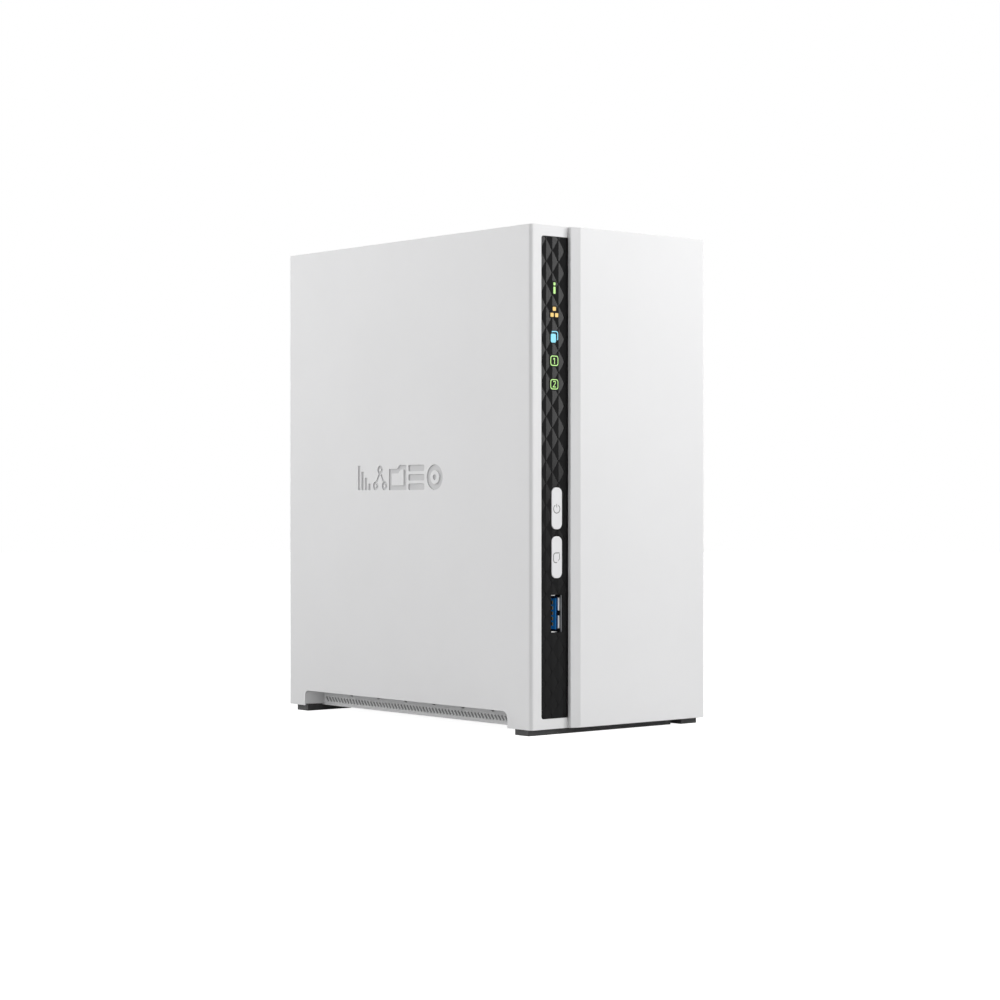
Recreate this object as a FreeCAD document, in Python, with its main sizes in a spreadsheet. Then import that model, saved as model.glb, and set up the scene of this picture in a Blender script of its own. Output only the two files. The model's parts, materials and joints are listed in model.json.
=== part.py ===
import FreeCAD, Part
import math
import os
import re

import Sketcher
from FreeCAD import Placement, Rotation, Vector

# Two-drive network attached storage, standing upright. Millimetres, +Z up, origin on the
# floor under the middle. The front faces -Y. The mainboard stands against the left side,
# the two drives stand on end beside it, and the right side slides forward for access.

SIZES = {
    # whole object
    "width": 90.18, "depth": 156.26, "height": 188.64, "foot_height": 2.28,
    "wall": 2.2, "skin": 1.6, "edge_radius": 1.4, "panel_step": 2.59,
    "seam": 30.5, "seam_gap": 0.3, "foot_pocket": 0.6,
    # indicator strip in the front frame
    "strip_left": -39.95, "strip_right": -26.98, "strip_low": 6.1, "strip_high": 184.7,
    "strip_sink": 0.3, "strip_corner": 1.1, "strip_flange": 1.0, "strip_rim": 1.5,
    "icon_x": -33.5, "lens_side": 4.4,
    # front panel on the access cover
    "panel_left": -26.83, "panel_right": 42.88, "bevel_wide": 4.04, "bevel_deep": 1.13,
    # vented recess low on both sides
    "recess_front": -62.17, "recess_rear": 66.55, "recess_top": 8.46, "recess_deep": 7.94,
    "slot_pitch": 2.0, "slot_wide": 0.9, "slot_long": 2.5, "slot_first": -53.4,
    "slot_low": 4.1, "window_pitch": 17.9, "window_first": -44.4, "window_z": 6.5,
    # buttons in the strip
    "key_x": -32.33, "key_wide": 5.5, "key_tall": 15.82, "key_corner": 2.4,
    "power_z": 83.95, "copy_z": 65.84, "key_proud": 0.3, "plunger_radius": 0.9,
    # mainboard and its parts
    "board_face": -35.5, "board_thick": 1.6, "board_front": -70, "board_rear": 64,
    "board_low": 10.5, "board_high": 175, "usb_x": -32.38, "usb_wide": 5.65, "usb_tall": 14.06,
    "usb_metal": 0.35, "usb_deep": 14.4, "usb_z": 44.83, "reset_z": 71,
    "lan_z": 158, "inlet_z": 45, "usb_rear_high": 128, "usb_rear_low": 108,
    # rear panel and fan
    "rear_inner": 72.9, "rear_thick": 1.6, "fan_x": 9, "fan_z": 100, "fan_side": 60,
    "fan_deep": 25, "fan_bore": 28.5, "fan_pitch": 25, "thumb_x": 39, "thumb_low": 19,
    "thumb_high": 173, "shaft_radius": 1.5, "run_gap": 0.05,
    # drives, standing on end with their plugs down
    "drive_thick": 26.1, "drive_wide": 101.6, "drive_long": 147, "drive_front": -68,
    "drive_low": 24, "drive_1_x": -19.2, "drive_2_x": 9.8, "spindle_up": 95.9,
    "pivot_up": 46, "pivot_aside": 28, "disc_radius": 47.5, "drive_well": 49,
    "screw_in": 6.35, "screw_low": 28.5, "screw_step": 101.6,
    # cage, backplane and its fixings
    "cage_left": -20.5, "cage_right": 36.6, "cage_low": 17, "cage_high": 175, "sheet": 1.0,
    "backplane_z": 12, "backplane_left": -33, "backplane_right": 36,
}

LEFT, RIGHT = "-width/2", "width/2"
FRONT, BACK = "-depth/2", "depth/2"
FRAME = "(panel_step - depth/2)"
FRAME_BACK = "(panel_step + wall - depth/2)"
SEAM_LEFT, SEAM_RIGHT = "(seam - seam_gap/2)", "(seam + seam_gap/2)"
FLOOR_TOP, ROOF_LOW = "(foot_height + wall)", "(height - wall)"
REAR_OUTER = "(rear_inner + rear_thick)"
DRIVE_BACK = "(drive_front + drive_wide)"
SPINDLE_Y = "(drive_front + drive_wide/2)"
SPINDLE_Z = "(drive_low + spindle_up)"
# places used more than once: screws as pairs of middles, spans as (low, high)
BOARD_SCREWS = ((-62, 170), (56, 170.5), (-62, 20), (58, 16))
CAGE_SCREWS = ((-14, -62), (26, -62), (-14, 28), (26, 28))
# each rear panel screw, with the width and height of the boss that holds it
PANEL_SCREWS = (((-26, 9), (-29.4, -22.6), (0, 13)), ((-38, 181), (LEFT, -34.6), (177, 185)))
FOOT_BAR_X = (-44.5, 28.5)
FOOT_BAR_Y = ((-73.63, -65.83), (67.2, 73.4))
COVER_FOOT_X = (32.6, 41.0)
COVER_FOOT_Y = ((-75.1, -67.3), (67.2, 73.4))
LIGHTS = {"status_light": 165.82, "network_light": 156.8, "copy_light": 147.65,
          "drive_1_light": 138.8, "drive_2_light": 130.0}
CABLE_RADIUS = 0.8

ALONG = {"x": Rotation(Vector(0, 1, 0), 90), "y": Rotation(Vector(1, 0, 0), -90), "z": Rotation()}

doc = FreeCAD.newDocument("network_storage")
sheet = doc.addObject("Spreadsheet::Sheet", "Sizes")
for row, (alias, size) in enumerate(SIZES.items(), start=1):
    sheet.set(f"A{row}", alias)
    sheet.set(f"B{row}", str(size))
    sheet.setAlias(f"B{row}", alias)
doc.recompute()
nodes = []


# ---------------------------------------------------------------- helpers

def linked(expression):
    """The expression with every sheet alias written as a reference to the sheet."""
    def refer(word):
        return f"Sizes.{word.group(0)}" if word.group(0) in SIZES else word.group(0)
    return re.sub(r"[A-Za-z_][A-Za-z0-9_]*", refer, str(expression))


def bind(item, field, expression):
    item.setExpression(field, linked(expression))


def number(expression):
    """The expression's present value in millimetres."""
    return float(sheet.evalExpression(linked(expression)))


def keep(item):
    """Mark a finished sub-part: its label names its file."""
    item.Label = item.Name
    nodes.append(item)
    return item


def around(middle, half):
    return f"{middle} - ({half})", f"{middle} + ({half})"


def box(name, x, y, z):
    solid = doc.addObject("Part::Box", name)
    for side, axis, (low, high) in zip(("Length", "Width", "Height"), "xyz", (x, y, z)):
        bind(solid, side, f"({high}) - ({low})")
        bind(solid, f"Placement.Base.{axis}", low)
    return solid


def rod(name, axis, radius, x, y, z):
    """A cylinder along axis: that axis gets (low, high) and the others their middle."""
    solid = doc.addObject("Part::Cylinder", name)
    solid.Placement = Placement(Vector(), ALONG[axis])
    bind(solid, "Radius", radius)
    for letter, place in zip("xyz", (x, y, z)):
        if letter == axis:
            bind(solid, "Height", f"({place[1]}) - ({place[0]})")
            place = place[0]
        bind(solid, f"Placement.Base.{letter}", place)
    return solid


def join(name, solids):
    union = doc.addObject("Part::MultiFuse", name)
    union.Shapes = solids
    union.Refine = True
    return union


def cut(name, base, tools):
    result = doc.addObject("Part::Cut", name)
    result.Base = base
    result.Tool = tools[0] if len(tools) == 1 else join(name + "_tools", tools)
    return result


def group(name, solids):
    """Separate solids of one kind, kept as one sub-part."""
    compound = doc.addObject("Part::Compound", name)
    compound.Links = solids
    return compound


def rectangle(low_x, high_x, low_y, high_y):
    return [(low_x, low_y), (high_x, low_y), (high_x, high_y), (low_x, high_y)]


def outline(body, plane, points, offset):
    """A closed sketch on an origin plane, each corner placed by the sheet."""
    sketch = body.newObject("Sketcher::SketchObject", body.Name + "_outline")
    role = [item for item in body.Origin.OriginFeatures if item.Role == plane + "_Plane"]
    sketch.AttachmentSupport = [(role[0], "")]
    sketch.MapMode = "FlatFace"
    bind(sketch, "AttachmentOffset.Base.z", offset)
    corners = [Vector(number(x), number(y), 0) for x, y in points]
    count = len(corners)
    for index, corner in enumerate(corners):
        sketch.addGeometry(Part.LineSegment(corner, corners[(index + 1) % count]), False)
    for index in range(count):
        sketch.addConstraint(Sketcher.Constraint("Coincident", index, 2, (index + 1) % count, 1))
    for index, (x, y) in enumerate(points):
        for kind, place in (("DistanceX", x), ("DistanceY", y)):
            rule = Sketcher.Constraint(kind, -1, 1, index, 1, number(place))
            bind(sketch, f"Constraints[{sketch.addConstraint(rule)}]", place)
    return sketch


def prism(name, plane, points, low, high, rounds=()):
    """A padded outline; rounds gives a radius and a point on each edge to round."""
    body = doc.addObject("PartDesign::Body", name)
    offset = f"-({high})" if plane == "XZ" else low
    pad = body.newObject("PartDesign::Pad", name + "_pad")
    pad.Profile = outline(body, plane, points, offset)
    bind(pad, "Length", f"({high}) - ({low})")
    doc.recompute()
    for step, (radius, spots) in enumerate(rounds, start=1):
        near = [Part.Vertex(*(number(place) for place in spot)) for spot in spots]
        edges = [f"Edge{index}" for index, edge in enumerate(body.Shape.Edges, start=1)
                 if any(spot.distToShape(edge)[0] < 0.001 for spot in near)]
        whole = body.Tip
        fillet = body.newObject("PartDesign::Fillet", f"{name}_round_{step}")
        fillet.Base = (whole, edges)
        bind(fillet, "Radius", radius)
        doc.recompute()
    return body


# ---------------------------------------------------------------- casing and cover

def recess(name, side, grown):
    """The space of the low side recess, or that space grown by the skin round it."""
    inner = f"{side}*(width/2 - recess_deep - {grown})"
    outer = f"{side}*(width/2 + 1)"
    low_x, high_x = (outer, inner) if side < 0 else (inner, outer)
    low_y, high_y = f"recess_front - {grown}", f"recess_rear + {grown}"
    top = f"recess_top + {grown}"
    middle = f"{side}*width/2"
    return prism(name, "YZ", rectangle(low_y, high_y, "foot_height - 1", top), low_x, high_x,
                 [("strip_corner*2.4", [(middle, low_y, top)]),
                  ("strip_corner*1.8", [(middle, high_y, top)])])


def vents(name, side):
    """Leaning slots in the recess wall, with a few small windows above them."""
    inner = f"{side}*(width/2 - recess_deep - skin/2)"
    through = around(inner, "skin")
    cuts = []
    for index in range(58):
        low_y = f"slot_first + {index}*slot_pitch"
        slot = box(f"{name}_slot_{index}", through, (low_y, f"{low_y} + slot_wide"),
                   ("slot_low", "slot_low + slot_long"))
        slot.Placement = Placement(slot.Placement.Base, Rotation(Vector(1, 0, 0), -40))
        cuts.append(slot)
    for index in range(6):
        middle = f"window_first + {index}*window_pitch"
        cuts.append(box(f"{name}_window_{index}", through, around(middle, 0.9),
                        around("window_z + 0.7", 0.4)))
    return cuts


def casing():
    """Left side, roof, floor and the front frame, with posts and bosses inside."""
    block = prism("casing_block", "XY", rectangle(LEFT, SEAM_LEFT, FRAME, BACK),
                  "foot_height", "height",
                  [("edge_radius", [(LEFT, FRAME, "height/2"), (LEFT, BACK, "height/2")])])
    inside = box("casing_inside", (f"{LEFT} + wall", "seam + 10"), (FRAME_BACK, f"{BACK} + 1"),
                 (FLOOR_TOP, ROOF_LOW))
    stays = [recess("casing_recess_wall", -1, "skin")]
    stays.append(box("strip_rib", ("strip_right - 1.4", "strip_right"),
                     (f"{FRAME_BACK} + strip_flange", "board_front + 4"), (0, "height")))
    for index, (x, y) in enumerate(CAGE_SCREWS):
        post = rod(f"cage_post_{index}", "z", 3.5, x, y, (0, "cage_low"))
        hole = rod(f"cage_post_hole_{index}", "z", 1.5, x, y, ("cage_low - 8", "cage_low + 1"))
        stays.append(cut(f"cage_pillar_{index}", post, [hole]))
    for index, (y, z) in enumerate(BOARD_SCREWS):
        boss = rod(f"board_boss_{index}", "x", 3, (LEFT, "board_face - board_thick"), y, z)
        hole = rod(f"board_boss_hole_{index}", "x", 1.3, ("board_face - 5.6", "board_face"), y, z)
        stays.append(cut(f"board_stud_{index}", boss, [hole]))
    for index, ((x, z), wide, tall) in enumerate(PANEL_SCREWS):
        boss = box(f"panel_boss_{index}", wide, ("rear_inner - 7", "rear_inner"), tall)
        hole = rod(f"panel_boss_hole_{index}", "y", 1.3, x, ("rear_inner - 6", "rear_inner"), z)
        stays.append(cut(f"panel_stud_{index}", boss, [hole]))
    hollow = cut("casing_hollow", inside, stays)
    mouth = box("casing_mouth", ("strip_right + 0.08", "seam + 10"),
                (f"{FRAME} - 1", f"{FRAME_BACK} + 0.5"), (FLOOR_TOP, ROOF_LOW))
    window = prism("strip_window", "XZ",
                   rectangle("strip_left", "strip_right + 0.5", "strip_low", "strip_high"),
                   f"{FRAME} - 1", f"{FRAME_BACK} + 0.5",
                   [("strip_corner", [("strip_left", FRAME, "strip_low"),
                                      ("strip_left", FRAME, "strip_high")])])
    pockets = [box(f"foot_pocket_{index}", FOOT_BAR_X, span,
                   ("foot_height - 1", "foot_height + foot_pocket"))
               for index, span in enumerate(FOOT_BAR_Y)]
    shell = cut("casing_shell", block,
                [hollow, mouth, window, recess("casing_recess", -1, "0")] + pockets
                + vents("casing", -1))
    ledges = []
    span = ("foot_pocket + board_front", "rear_inner - 4")
    for index, (root, tongue) in enumerate((
            ((FLOOR_TOP, f"{FLOOR_TOP} + 2.1"), (f"{FLOOR_TOP} + 0.3", f"{FLOOR_TOP} + 2.1")),
            ((f"{ROOF_LOW} - 2.1", ROOF_LOW), (f"{ROOF_LOW} - 2.1", f"{ROOF_LOW} - 0.3")))):
        ledges.append(box(f"ledge_root_{index}", ("seam - 4.5", SEAM_LEFT), span, root))
        ledges.append(box(f"ledge_{index}", ("seam - 4.5", "seam + 3.5"), span, tongue))
    keep(join("main_casing", [shell] + ledges))


def access_cover():
    """Right side, ends of the roof and floor, and the proud front panel."""
    block = prism("cover_block", "XY", rectangle(SEAM_RIGHT, RIGHT, FRAME, BACK),
                  "foot_height", "height",
                  [("edge_radius", [(RIGHT, FRAME, "height/2"), (RIGHT, BACK, "height/2")])])
    inside = box("cover_inside", ("seam - 5", f"{RIGHT} - wall"),
                 (f"{FRAME} - 1", f"{BACK} + 1"), (FLOOR_TOP, ROOF_LOW))
    flange = box("cover_flange", ("seam + 4.5", RIGHT), (FRAME, f"{FRAME} + 2"), (0, "height"))
    pegs = []
    holes = []
    for index, z in enumerate((20, 70, 120, 170)):
        holes.append(rod(f"peg_hole_{index}", "y", 1.6, "seam + 8", (FRAME, f"{FRAME} + 2"), z))
        pegs.append(rod(f"peg_{index}", "y", 1.5, "seam + 8", (f"{FRAME} - 1", f"{FRAME} + 1.9"), z))
    stays = [recess("cover_recess_wall", 1, "skin"), cut("cover_flange_drilled", flange, holes)]
    for index, z in enumerate(("thumb_low", "thumb_high")):
        tab = box(f"thumb_tab_{index}", ("thumb_x - 2.05", RIGHT),
                  ("rear_inner - 2.4", "rear_inner - 0.3"), around(z, 5))
        hole = rod(f"thumb_tab_hole_{index}", "y", "shaft_radius + 0.15", "thumb_x",
                   ("rear_inner - 3", "rear_inner"), z)
        stays.append(cut(f"thumb_tab_drilled_{index}", tab, [hole]))
    hollow = cut("cover_hollow", inside, stays)
    pockets = [box(f"cover_foot_pocket_{index}", COVER_FOOT_X, span,
                   ("foot_height - 1", "foot_height + foot_pocket"))
               for index, span in enumerate(COVER_FOOT_Y)]
    keep(cut("side_cover", block, [hollow, recess("cover_recess", 1, "0")] + pockets
             + vents("cover", 1)))
    profile = [("panel_left", FRAME), ("panel_left", f"{FRONT} + bevel_deep"),
               ("panel_left + bevel_wide", FRONT), ("panel_right", FRONT), ("panel_right", FRAME)]
    plate = prism("panel_plate", "XY", profile, "foot_height", "height",
                  [("edge_radius", [("panel_right", FRONT, "height/2")])])
    keep(join("front_panel", [plate] + pegs))


def feet():
    keep(group("casing_feet", [
        box(f"foot_bar_{index}", FOOT_BAR_X, span, (0, "foot_height + foot_pocket"))
        for index, span in enumerate(FOOT_BAR_Y)]))
    keep(group("cover_feet", [
        box(f"cover_foot_{index}", COVER_FOOT_X, span, (0, "foot_height + foot_pocket"))
        for index, span in enumerate(COVER_FOOT_Y)]))


# ---------------------------------------------------------------- strip, lights and buttons

def key_outline(name, z, spare, low, high):
    half_x, half_z = f"key_wide/2 + {spare}", f"key_tall/2 + {spare}"
    x, tall = around("key_x", half_x), around(z, half_z)
    corners = [(side, low, end) for side in x for end in tall]
    return prism(name, "XZ", rectangle(*x, *tall), low, high, [("key_corner", corners)])


def indicator_strip():
    front = f"{FRAME} + strip_sink"
    back = f"{FRAME_BACK} + strip_flange"
    face = prism("strip_face", "XZ",
                 rectangle("strip_left", "strip_right", "strip_low", "strip_high"), front,
                 FRAME_BACK, [("strip_corner", [("strip_left", front, "strip_low"),
                                                ("strip_left", front, "strip_high")])])
    rim = box("strip_back", ("strip_left - strip_rim", "strip_right"), (FRAME_BACK, back),
              ("strip_low - strip_rim", "strip_high + strip_rim"))
    holes = [key_outline("power_hole", "power_z", 0.2, f"{front} - 1", f"{back} + 1"),
             key_outline("copy_hole", "copy_z", 0.2, f"{front} - 1", f"{back} + 1"),
             box("usb_hole", around("usb_x", "usb_wide/2 + 0.08"), (FRAME, f"{back} + 1"),
                 around("usb_z", "usb_tall/2 + 0.08"))]
    leds = []
    for name, z in LIGHTS.items():
        sides = around("icon_x", "lens_side/2")
        holes.append(box(f"{name}_hole", sides, (FRAME, f"{back} + 1"), around(z, "lens_side/2")))
        keep(box(name, sides, (front, "board_front - 0.6"), around(z, "lens_side/2")))
        leds.append(box(f"{name}_led", ("board_face", "board_face + 3"),
                        ("board_front - 0.4", "board_front + 2"), around(z, 1.5)))
    keep(cut("indicator_strip", join("strip_blank", [face, rim]), holes))
    keep(group("indicator_leds", leds))


def push_button(name, z):
    """A key held behind the strip by its flange, with the switch plunger behind it."""
    back = f"{FRAME_BACK} + strip_flange"
    face = key_outline(f"{name}_face", z, 0, f"{FRAME} - key_proud", f"{back} + 0.6")
    flange = box(f"{name}_flange", around("key_x", "key_wide/2 + 0.8"),
                 (f"{back} + 0.15", f"{back} + 1.1"), around(z, "key_tall/2 + 1"))
    keep(join(f"{name}_button", [face, flange]))
    keep(rod(f"{name}_plunger", "y", "plunger_radius", "icon_x",
             (f"{back} + 1.1", "board_front + 1.1"), z))
    case = box(f"{name}_switch_case", ("board_face", "board_face + 4"),
               ("board_front - 0.2", "board_front + 3.3"), around(z, 3))
    bore = rod(f"{name}_switch_bore", "y", "plunger_radius + 0.1", "icon_x",
               ("board_front - 1", "board_front + 2.1"), z)
    return cut(f"{name}_switch", case, [bore])


# ---------------------------------------------------------------- mainboard

def on_board(name, height, y, z, lift=0):
    return box(name, (f"board_face + {lift}", f"board_face + {lift + height}"), y, z)


def usb_socket(name, z, mouth, facing):
    """A type A socket: a folded metal shell round a tongue; facing is -1 front, 1 rear."""
    def span(near, far):
        ends = [f"{mouth} - {facing}*({near})", f"{mouth} - {facing}*({far})"]
        return (ends[0], ends[1]) if facing < 0 else (ends[1], ends[0])
    outer = box(f"{name}_outer", around("usb_x", "usb_wide/2"), span("0", "usb_deep"),
                around(z, "usb_tall/2"))
    inner = box(f"{name}_inner", around("usb_x", "usb_wide/2 - usb_metal"),
                span("-1", "usb_deep - usb_metal"), around(z, "usb_tall/2 - usb_metal"))
    tongue = box(f"{name}_tongue_bar", ("usb_x - 0.8", "usb_x + 1.43"),
                 span("1.5", "usb_deep - usb_metal"), around(z, 5.25))
    pins = [box(f"{name}_pin_{index}", ("usb_x - 1.05", "usb_x - 0.8"), span("2.2", "10"),
                around(f"{z} + {4 - 2 * index}", 0.45)) for index in range(5)]
    return cut(f"{name}_can", outer, [inner]), tongue, pins


def mainboard():
    plate = box("board_plate", ("board_face - board_thick", "board_face"),
                ("board_front", "board_rear"), ("board_low", "board_high"))
    holes = [rod(f"board_hole_{index}", "x", 1.6, ("board_face - 3", "board_face + 1"), y, z)
             for index, (y, z) in enumerate(BOARD_SCREWS)]
    keep(cut("mainboard", plate, holes))
    keep(on_board("processor", 1.5, (-17, 6), (98, 121)))
    fins, pitch, thick = 9, 4.1, 1.2
    low, high = "board_face + 1.5", "board_face + 10.5"
    comb = [(low, -22.5), (low, -22.5 + (fins - 1) * pitch + thick)]
    for index in reversed(range(fins)):
        start = -22.5 + index * pitch
        comb += [(high, start + thick), (high, start)]
        if index:
            comb += [("board_face + 3.5", start), ("board_face + 3.5", start - pitch + thick)]
    keep(prism("heatsink", "XY", comb, 92, 127))
    keep(group("memory_chips", [on_board(f"memory_{index}", 1.1, (-24 + 13 * index, -14 + 13 * index),
                                         (136, 148)) for index in range(4)]))
    chips = ((-52, 112, 8, 8), (-48, 30, 12, 12), (-8, 34, 14, 14), (30, 146, 10, 10),
             (36, 118, 9, 9), (-50, 140, 6, 5), (14, 60, 7, 7), (-20, 66, 6, 8), (50, 92, 7, 5))
    keep(group("board_chips", [on_board(f"chip_{index}", 1.2, around(y, wide / 2), around(z, tall / 2))
                               for index, (y, z, wide, tall) in enumerate(chips)]))
    keep(group("capacitors", [rod(f"capacitor_{index}", "x", 3.15,
                                  ("board_face", "board_face + 8"), y, z)
                              for index, (y, z) in enumerate(((36, 22), (44, 30), (52, 22),
                                                              (52, 34), (28, 30), (-34, 52)))]))
    keep(rod("coin_cell", "x", 10, ("board_face", "board_face + 4"), -38, 88))
    buzzer = rod("buzzer_can", "x", 6, ("board_face", "board_face + 7"), -52, 160)
    vent = rod("buzzer_vent", "x", 1.2, ("board_face + 5", "board_face + 8"), -52, 160)
    keep(cut("buzzer", buzzer, [vent]))
    keep(group("button_switches", [push_button("power", "power_z"), push_button("copy", "copy_z")]))
    case = on_board("reset_case", 4, ("board_rear - 3", "board_rear + 0.4"), around("reset_z", 3))
    bore = rod("reset_bore", "y", "plunger_radius + 0.1", "icon_x",
               ("board_rear - 2", "board_rear + 1"), "reset_z")
    keep(cut("reset_switch", case, [bore]))
    keep(rod("reset_plunger", "y", "plunger_radius", "icon_x",
             ("board_rear - 1.4", "rear_inner - 1.3"), "reset_z"))
    screws = []
    for index, (y, z) in enumerate(BOARD_SCREWS):
        screws.append(join(f"board_screw_{index}", [
            rod(f"board_screw_head_{index}", "x", 2.8, ("board_face", "board_face + 1.8"), y, z),
            rod(f"board_screw_stem_{index}", "x", 1.3, ("board_face - 5.5", "board_face + 1"), y, z)]))
    for index, (x, y) in enumerate(CAGE_SCREWS):
        screws.append(join(f"cage_screw_{index}", [
            rod(f"cage_screw_head_{index}", "z", 2.8, x, y,
                ("cage_low + sheet", "cage_low + sheet + 1.6")),
            rod(f"cage_screw_stem_{index}", "z", 1.5, x, y, ("cage_low - 7", "cage_low + 1.5"))]))
    keep(group("inner_screws", screws))


def sockets():
    shell, tongue, pins = usb_socket("usb_front", "usb_z", "(strip_sink + panel_step - depth/2)", -1)
    keep(group("usb_front_shell", [shell]))
    keep(group("usb_front_tongue", [tongue]))
    keep(group("usb_front_contacts", pins))
    rear = [usb_socket(f"usb_rear_{z}", z, f"({REAR_OUTER} - 0.2)", 1)
            for z in ("usb_rear_high", "usb_rear_low")]
    keep(group("usb_rear_shells", [shell for shell, tongue, pins in rear]))
    keep(group("usb_rear_tongues", [tongue for shell, tongue, pins in rear]))
    mouth = f"{REAR_OUTER} - 0.2"
    body = on_board("lan_body", 13.5, (f"{mouth} - 21.5", mouth), around("lan_z", 8))
    hollow = on_board("lan_hollow", 8.2, (f"{mouth} - 15", f"{REAR_OUTER} + 1"),
                      around("lan_z", 5.85), lift=1.6)
    catch = on_board("lan_catch", 2.4, (f"{mouth} - 15", f"{REAR_OUTER} + 1"),
                     around("lan_z", 3), lift=9.4)
    keep(cut("lan_jack", body, [hollow, catch]))
    keep(group("lan_contacts", [on_board(f"lan_pin_{index}", 0.8, (f"{mouth} - 13", f"{mouth} - 3"),
                                         around(f"lan_z + {3.57 - 1.02 * index:.2f}", 0.25), lift=1.6)
                                for index in range(8)]))
    body = on_board("inlet_body", 10, (f"{mouth} - 14", mouth), around("inlet_z", 5))
    bore = rod("inlet_bore", "y", 3.2, "board_face + 5", (f"{mouth} - 9.5", f"{mouth} + 1"), "inlet_z")
    pin = rod("inlet_pin", "y", 1.0, "board_face + 5", (f"{mouth} - 10", f"{mouth} - 1"), "inlet_z")
    keep(join("power_inlet", [cut("inlet_shell", body, [bore]), pin]))


# ---------------------------------------------------------------- drives, cage and backplane

def drive(number_):
    """A drive: casting with a round well, lid, circuit with plug, discs and swinging arm."""
    name, low = f"drive_{number_}", f"drive_{number_}_x"
    tall = ("drive_low", "drive_low + drive_long")
    deep = ("drive_front", DRIVE_BACK)
    floor, roof = f"{low} + 7", f"{low} + drive_thick - 1.2"
    arm_y, arm_z = f"({SPINDLE_Y} + pivot_aside)", f"({SPINDLE_Z} - pivot_up)"
    block = box(f"{name}_block", (f"{low} + 1.5", roof), deep, tall)
    well = rod(f"{name}_well", "x", "drive_well", (floor, f"{roof} + 1"), SPINDLE_Y, SPINDLE_Z)
    bay = box(f"{name}_bay", (floor, f"{roof} + 1"), ("drive_front + 8", f"{DRIVE_BACK} - 4"),
              ("drive_low + 12", f"{SPINDLE_Z} - 6"))
    notch = box(f"{name}_notch", (low, f"{low} + 7"), around(SPINDLE_Y, 22.5),
                ("drive_low - 1", "drive_low + 6"))
    threads = []
    for index, (y, z) in enumerate(drive_screw_places()):
        threads.append(rod(f"{name}_thread_{index}", "y", 1.7, f"{low} + screw_in", y, z))
    shell = cut(f"{name}_shell", block, [well, bay, notch] + threads)
    posts = [rod(f"{name}_{part}_post", "x", "shaft_radius*2", (f"{low} + 6", f"{roof} - 1"), y, z)
             for part, y, z in (("hub", SPINDLE_Y, SPINDLE_Z), ("arm", arm_y, arm_z))]
    keep(join(f"{name}_casting", [shell] + posts))
    keep(box(f"{name}_lid", (roof, f"{low} + drive_thick"), ("drive_front + 1", f"{DRIVE_BACK} - 1"),
             ("drive_low + 8", "drive_low + drive_long - 1")))
    board = box(f"{name}_board", (low, f"{low} + 1.5"), ("drive_front + 4", f"{DRIVE_BACK} - 4"),
                ("drive_low", "drive_low + 92"))
    plug = box(f"{name}_plug", (f"{low} + 1", f"{low} + 6.8"), around(SPINDLE_Y, 22),
               ("drive_low", "drive_low + 6"))
    mouth = box(f"{name}_plug_mouth", (f"{low} + 3", f"{low} + 5"), around(SPINDLE_Y, 19.6),
                ("drive_low - 1", "drive_low + 5"))
    keep(cut(f"{name}_circuit", join(f"{name}_circuit_blank", [board, plug]), [mouth]))
    hub = rod(f"{name}_hub", "x", 12.5, (f"{low} + 8", f"{low} + 22.5"), SPINDLE_Y, SPINDLE_Z)
    discs = [rod(f"{name}_disc_{index}", "x", "disc_radius",
                 (f"{low} + {start}", f"{low} + {start} + 1.3"), SPINDLE_Y, SPINDLE_Z)
             for index, start in enumerate((12, 18))]
    bore = rod(f"{name}_hub_bore", "x", "shaft_radius*2 + run_gap", (low, f"{low} + 26"),
               SPINDLE_Y, SPINDLE_Z)
    keep(cut(f"{name}_platters", join(f"{name}_stack", [hub] + discs), [bore]))
    pivot = rod(f"{name}_pivot", "x", 5.5, (f"{low} + 8", f"{low} + 22.5"), arm_y, arm_z)
    reach = [(f"{arm_y} - 5", f"{arm_z}"), (f"{arm_y} + 5", f"{arm_z}"),
             (f"{arm_y} + 3.6", f"{arm_z} + 44"), (f"{arm_y} + 0.4", f"{arm_z} + 44")]
    blades = [prism(f"{name}_blade_{index}", "YZ", reach, f"{low} + {start}", f"{low} + {start} + 0.8")
              for index, start in enumerate((10.4, 15.3, 20.2))]
    coil = prism(f"{name}_coil", "YZ", [(f"{arm_y} - 4", arm_z), (f"{arm_y} - 9", f"{arm_z} - 21"),
                                        (f"{arm_y} + 7", f"{arm_z} - 21"), (f"{arm_y} + 4", arm_z)],
                 f"{low} + 13", f"{low} + 16")
    bore = rod(f"{name}_pivot_bore", "x", "shaft_radius*2 + run_gap", (low, f"{low} + 26"), arm_y, arm_z)
    keep(cut(f"{name}_arm", join(f"{name}_arm_blank", [pivot, coil] + blades), [bore]))


def drive_screw_places():
    """Side screw depths and heights: front face then back face, low then high."""
    return [(span, f"drive_low + screw_low + {step}*screw_step")
            for span in (("drive_front", "drive_front + 4"), (f"{DRIVE_BACK} - 4", DRIVE_BACK))
            for step in (0, 1)]


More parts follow.
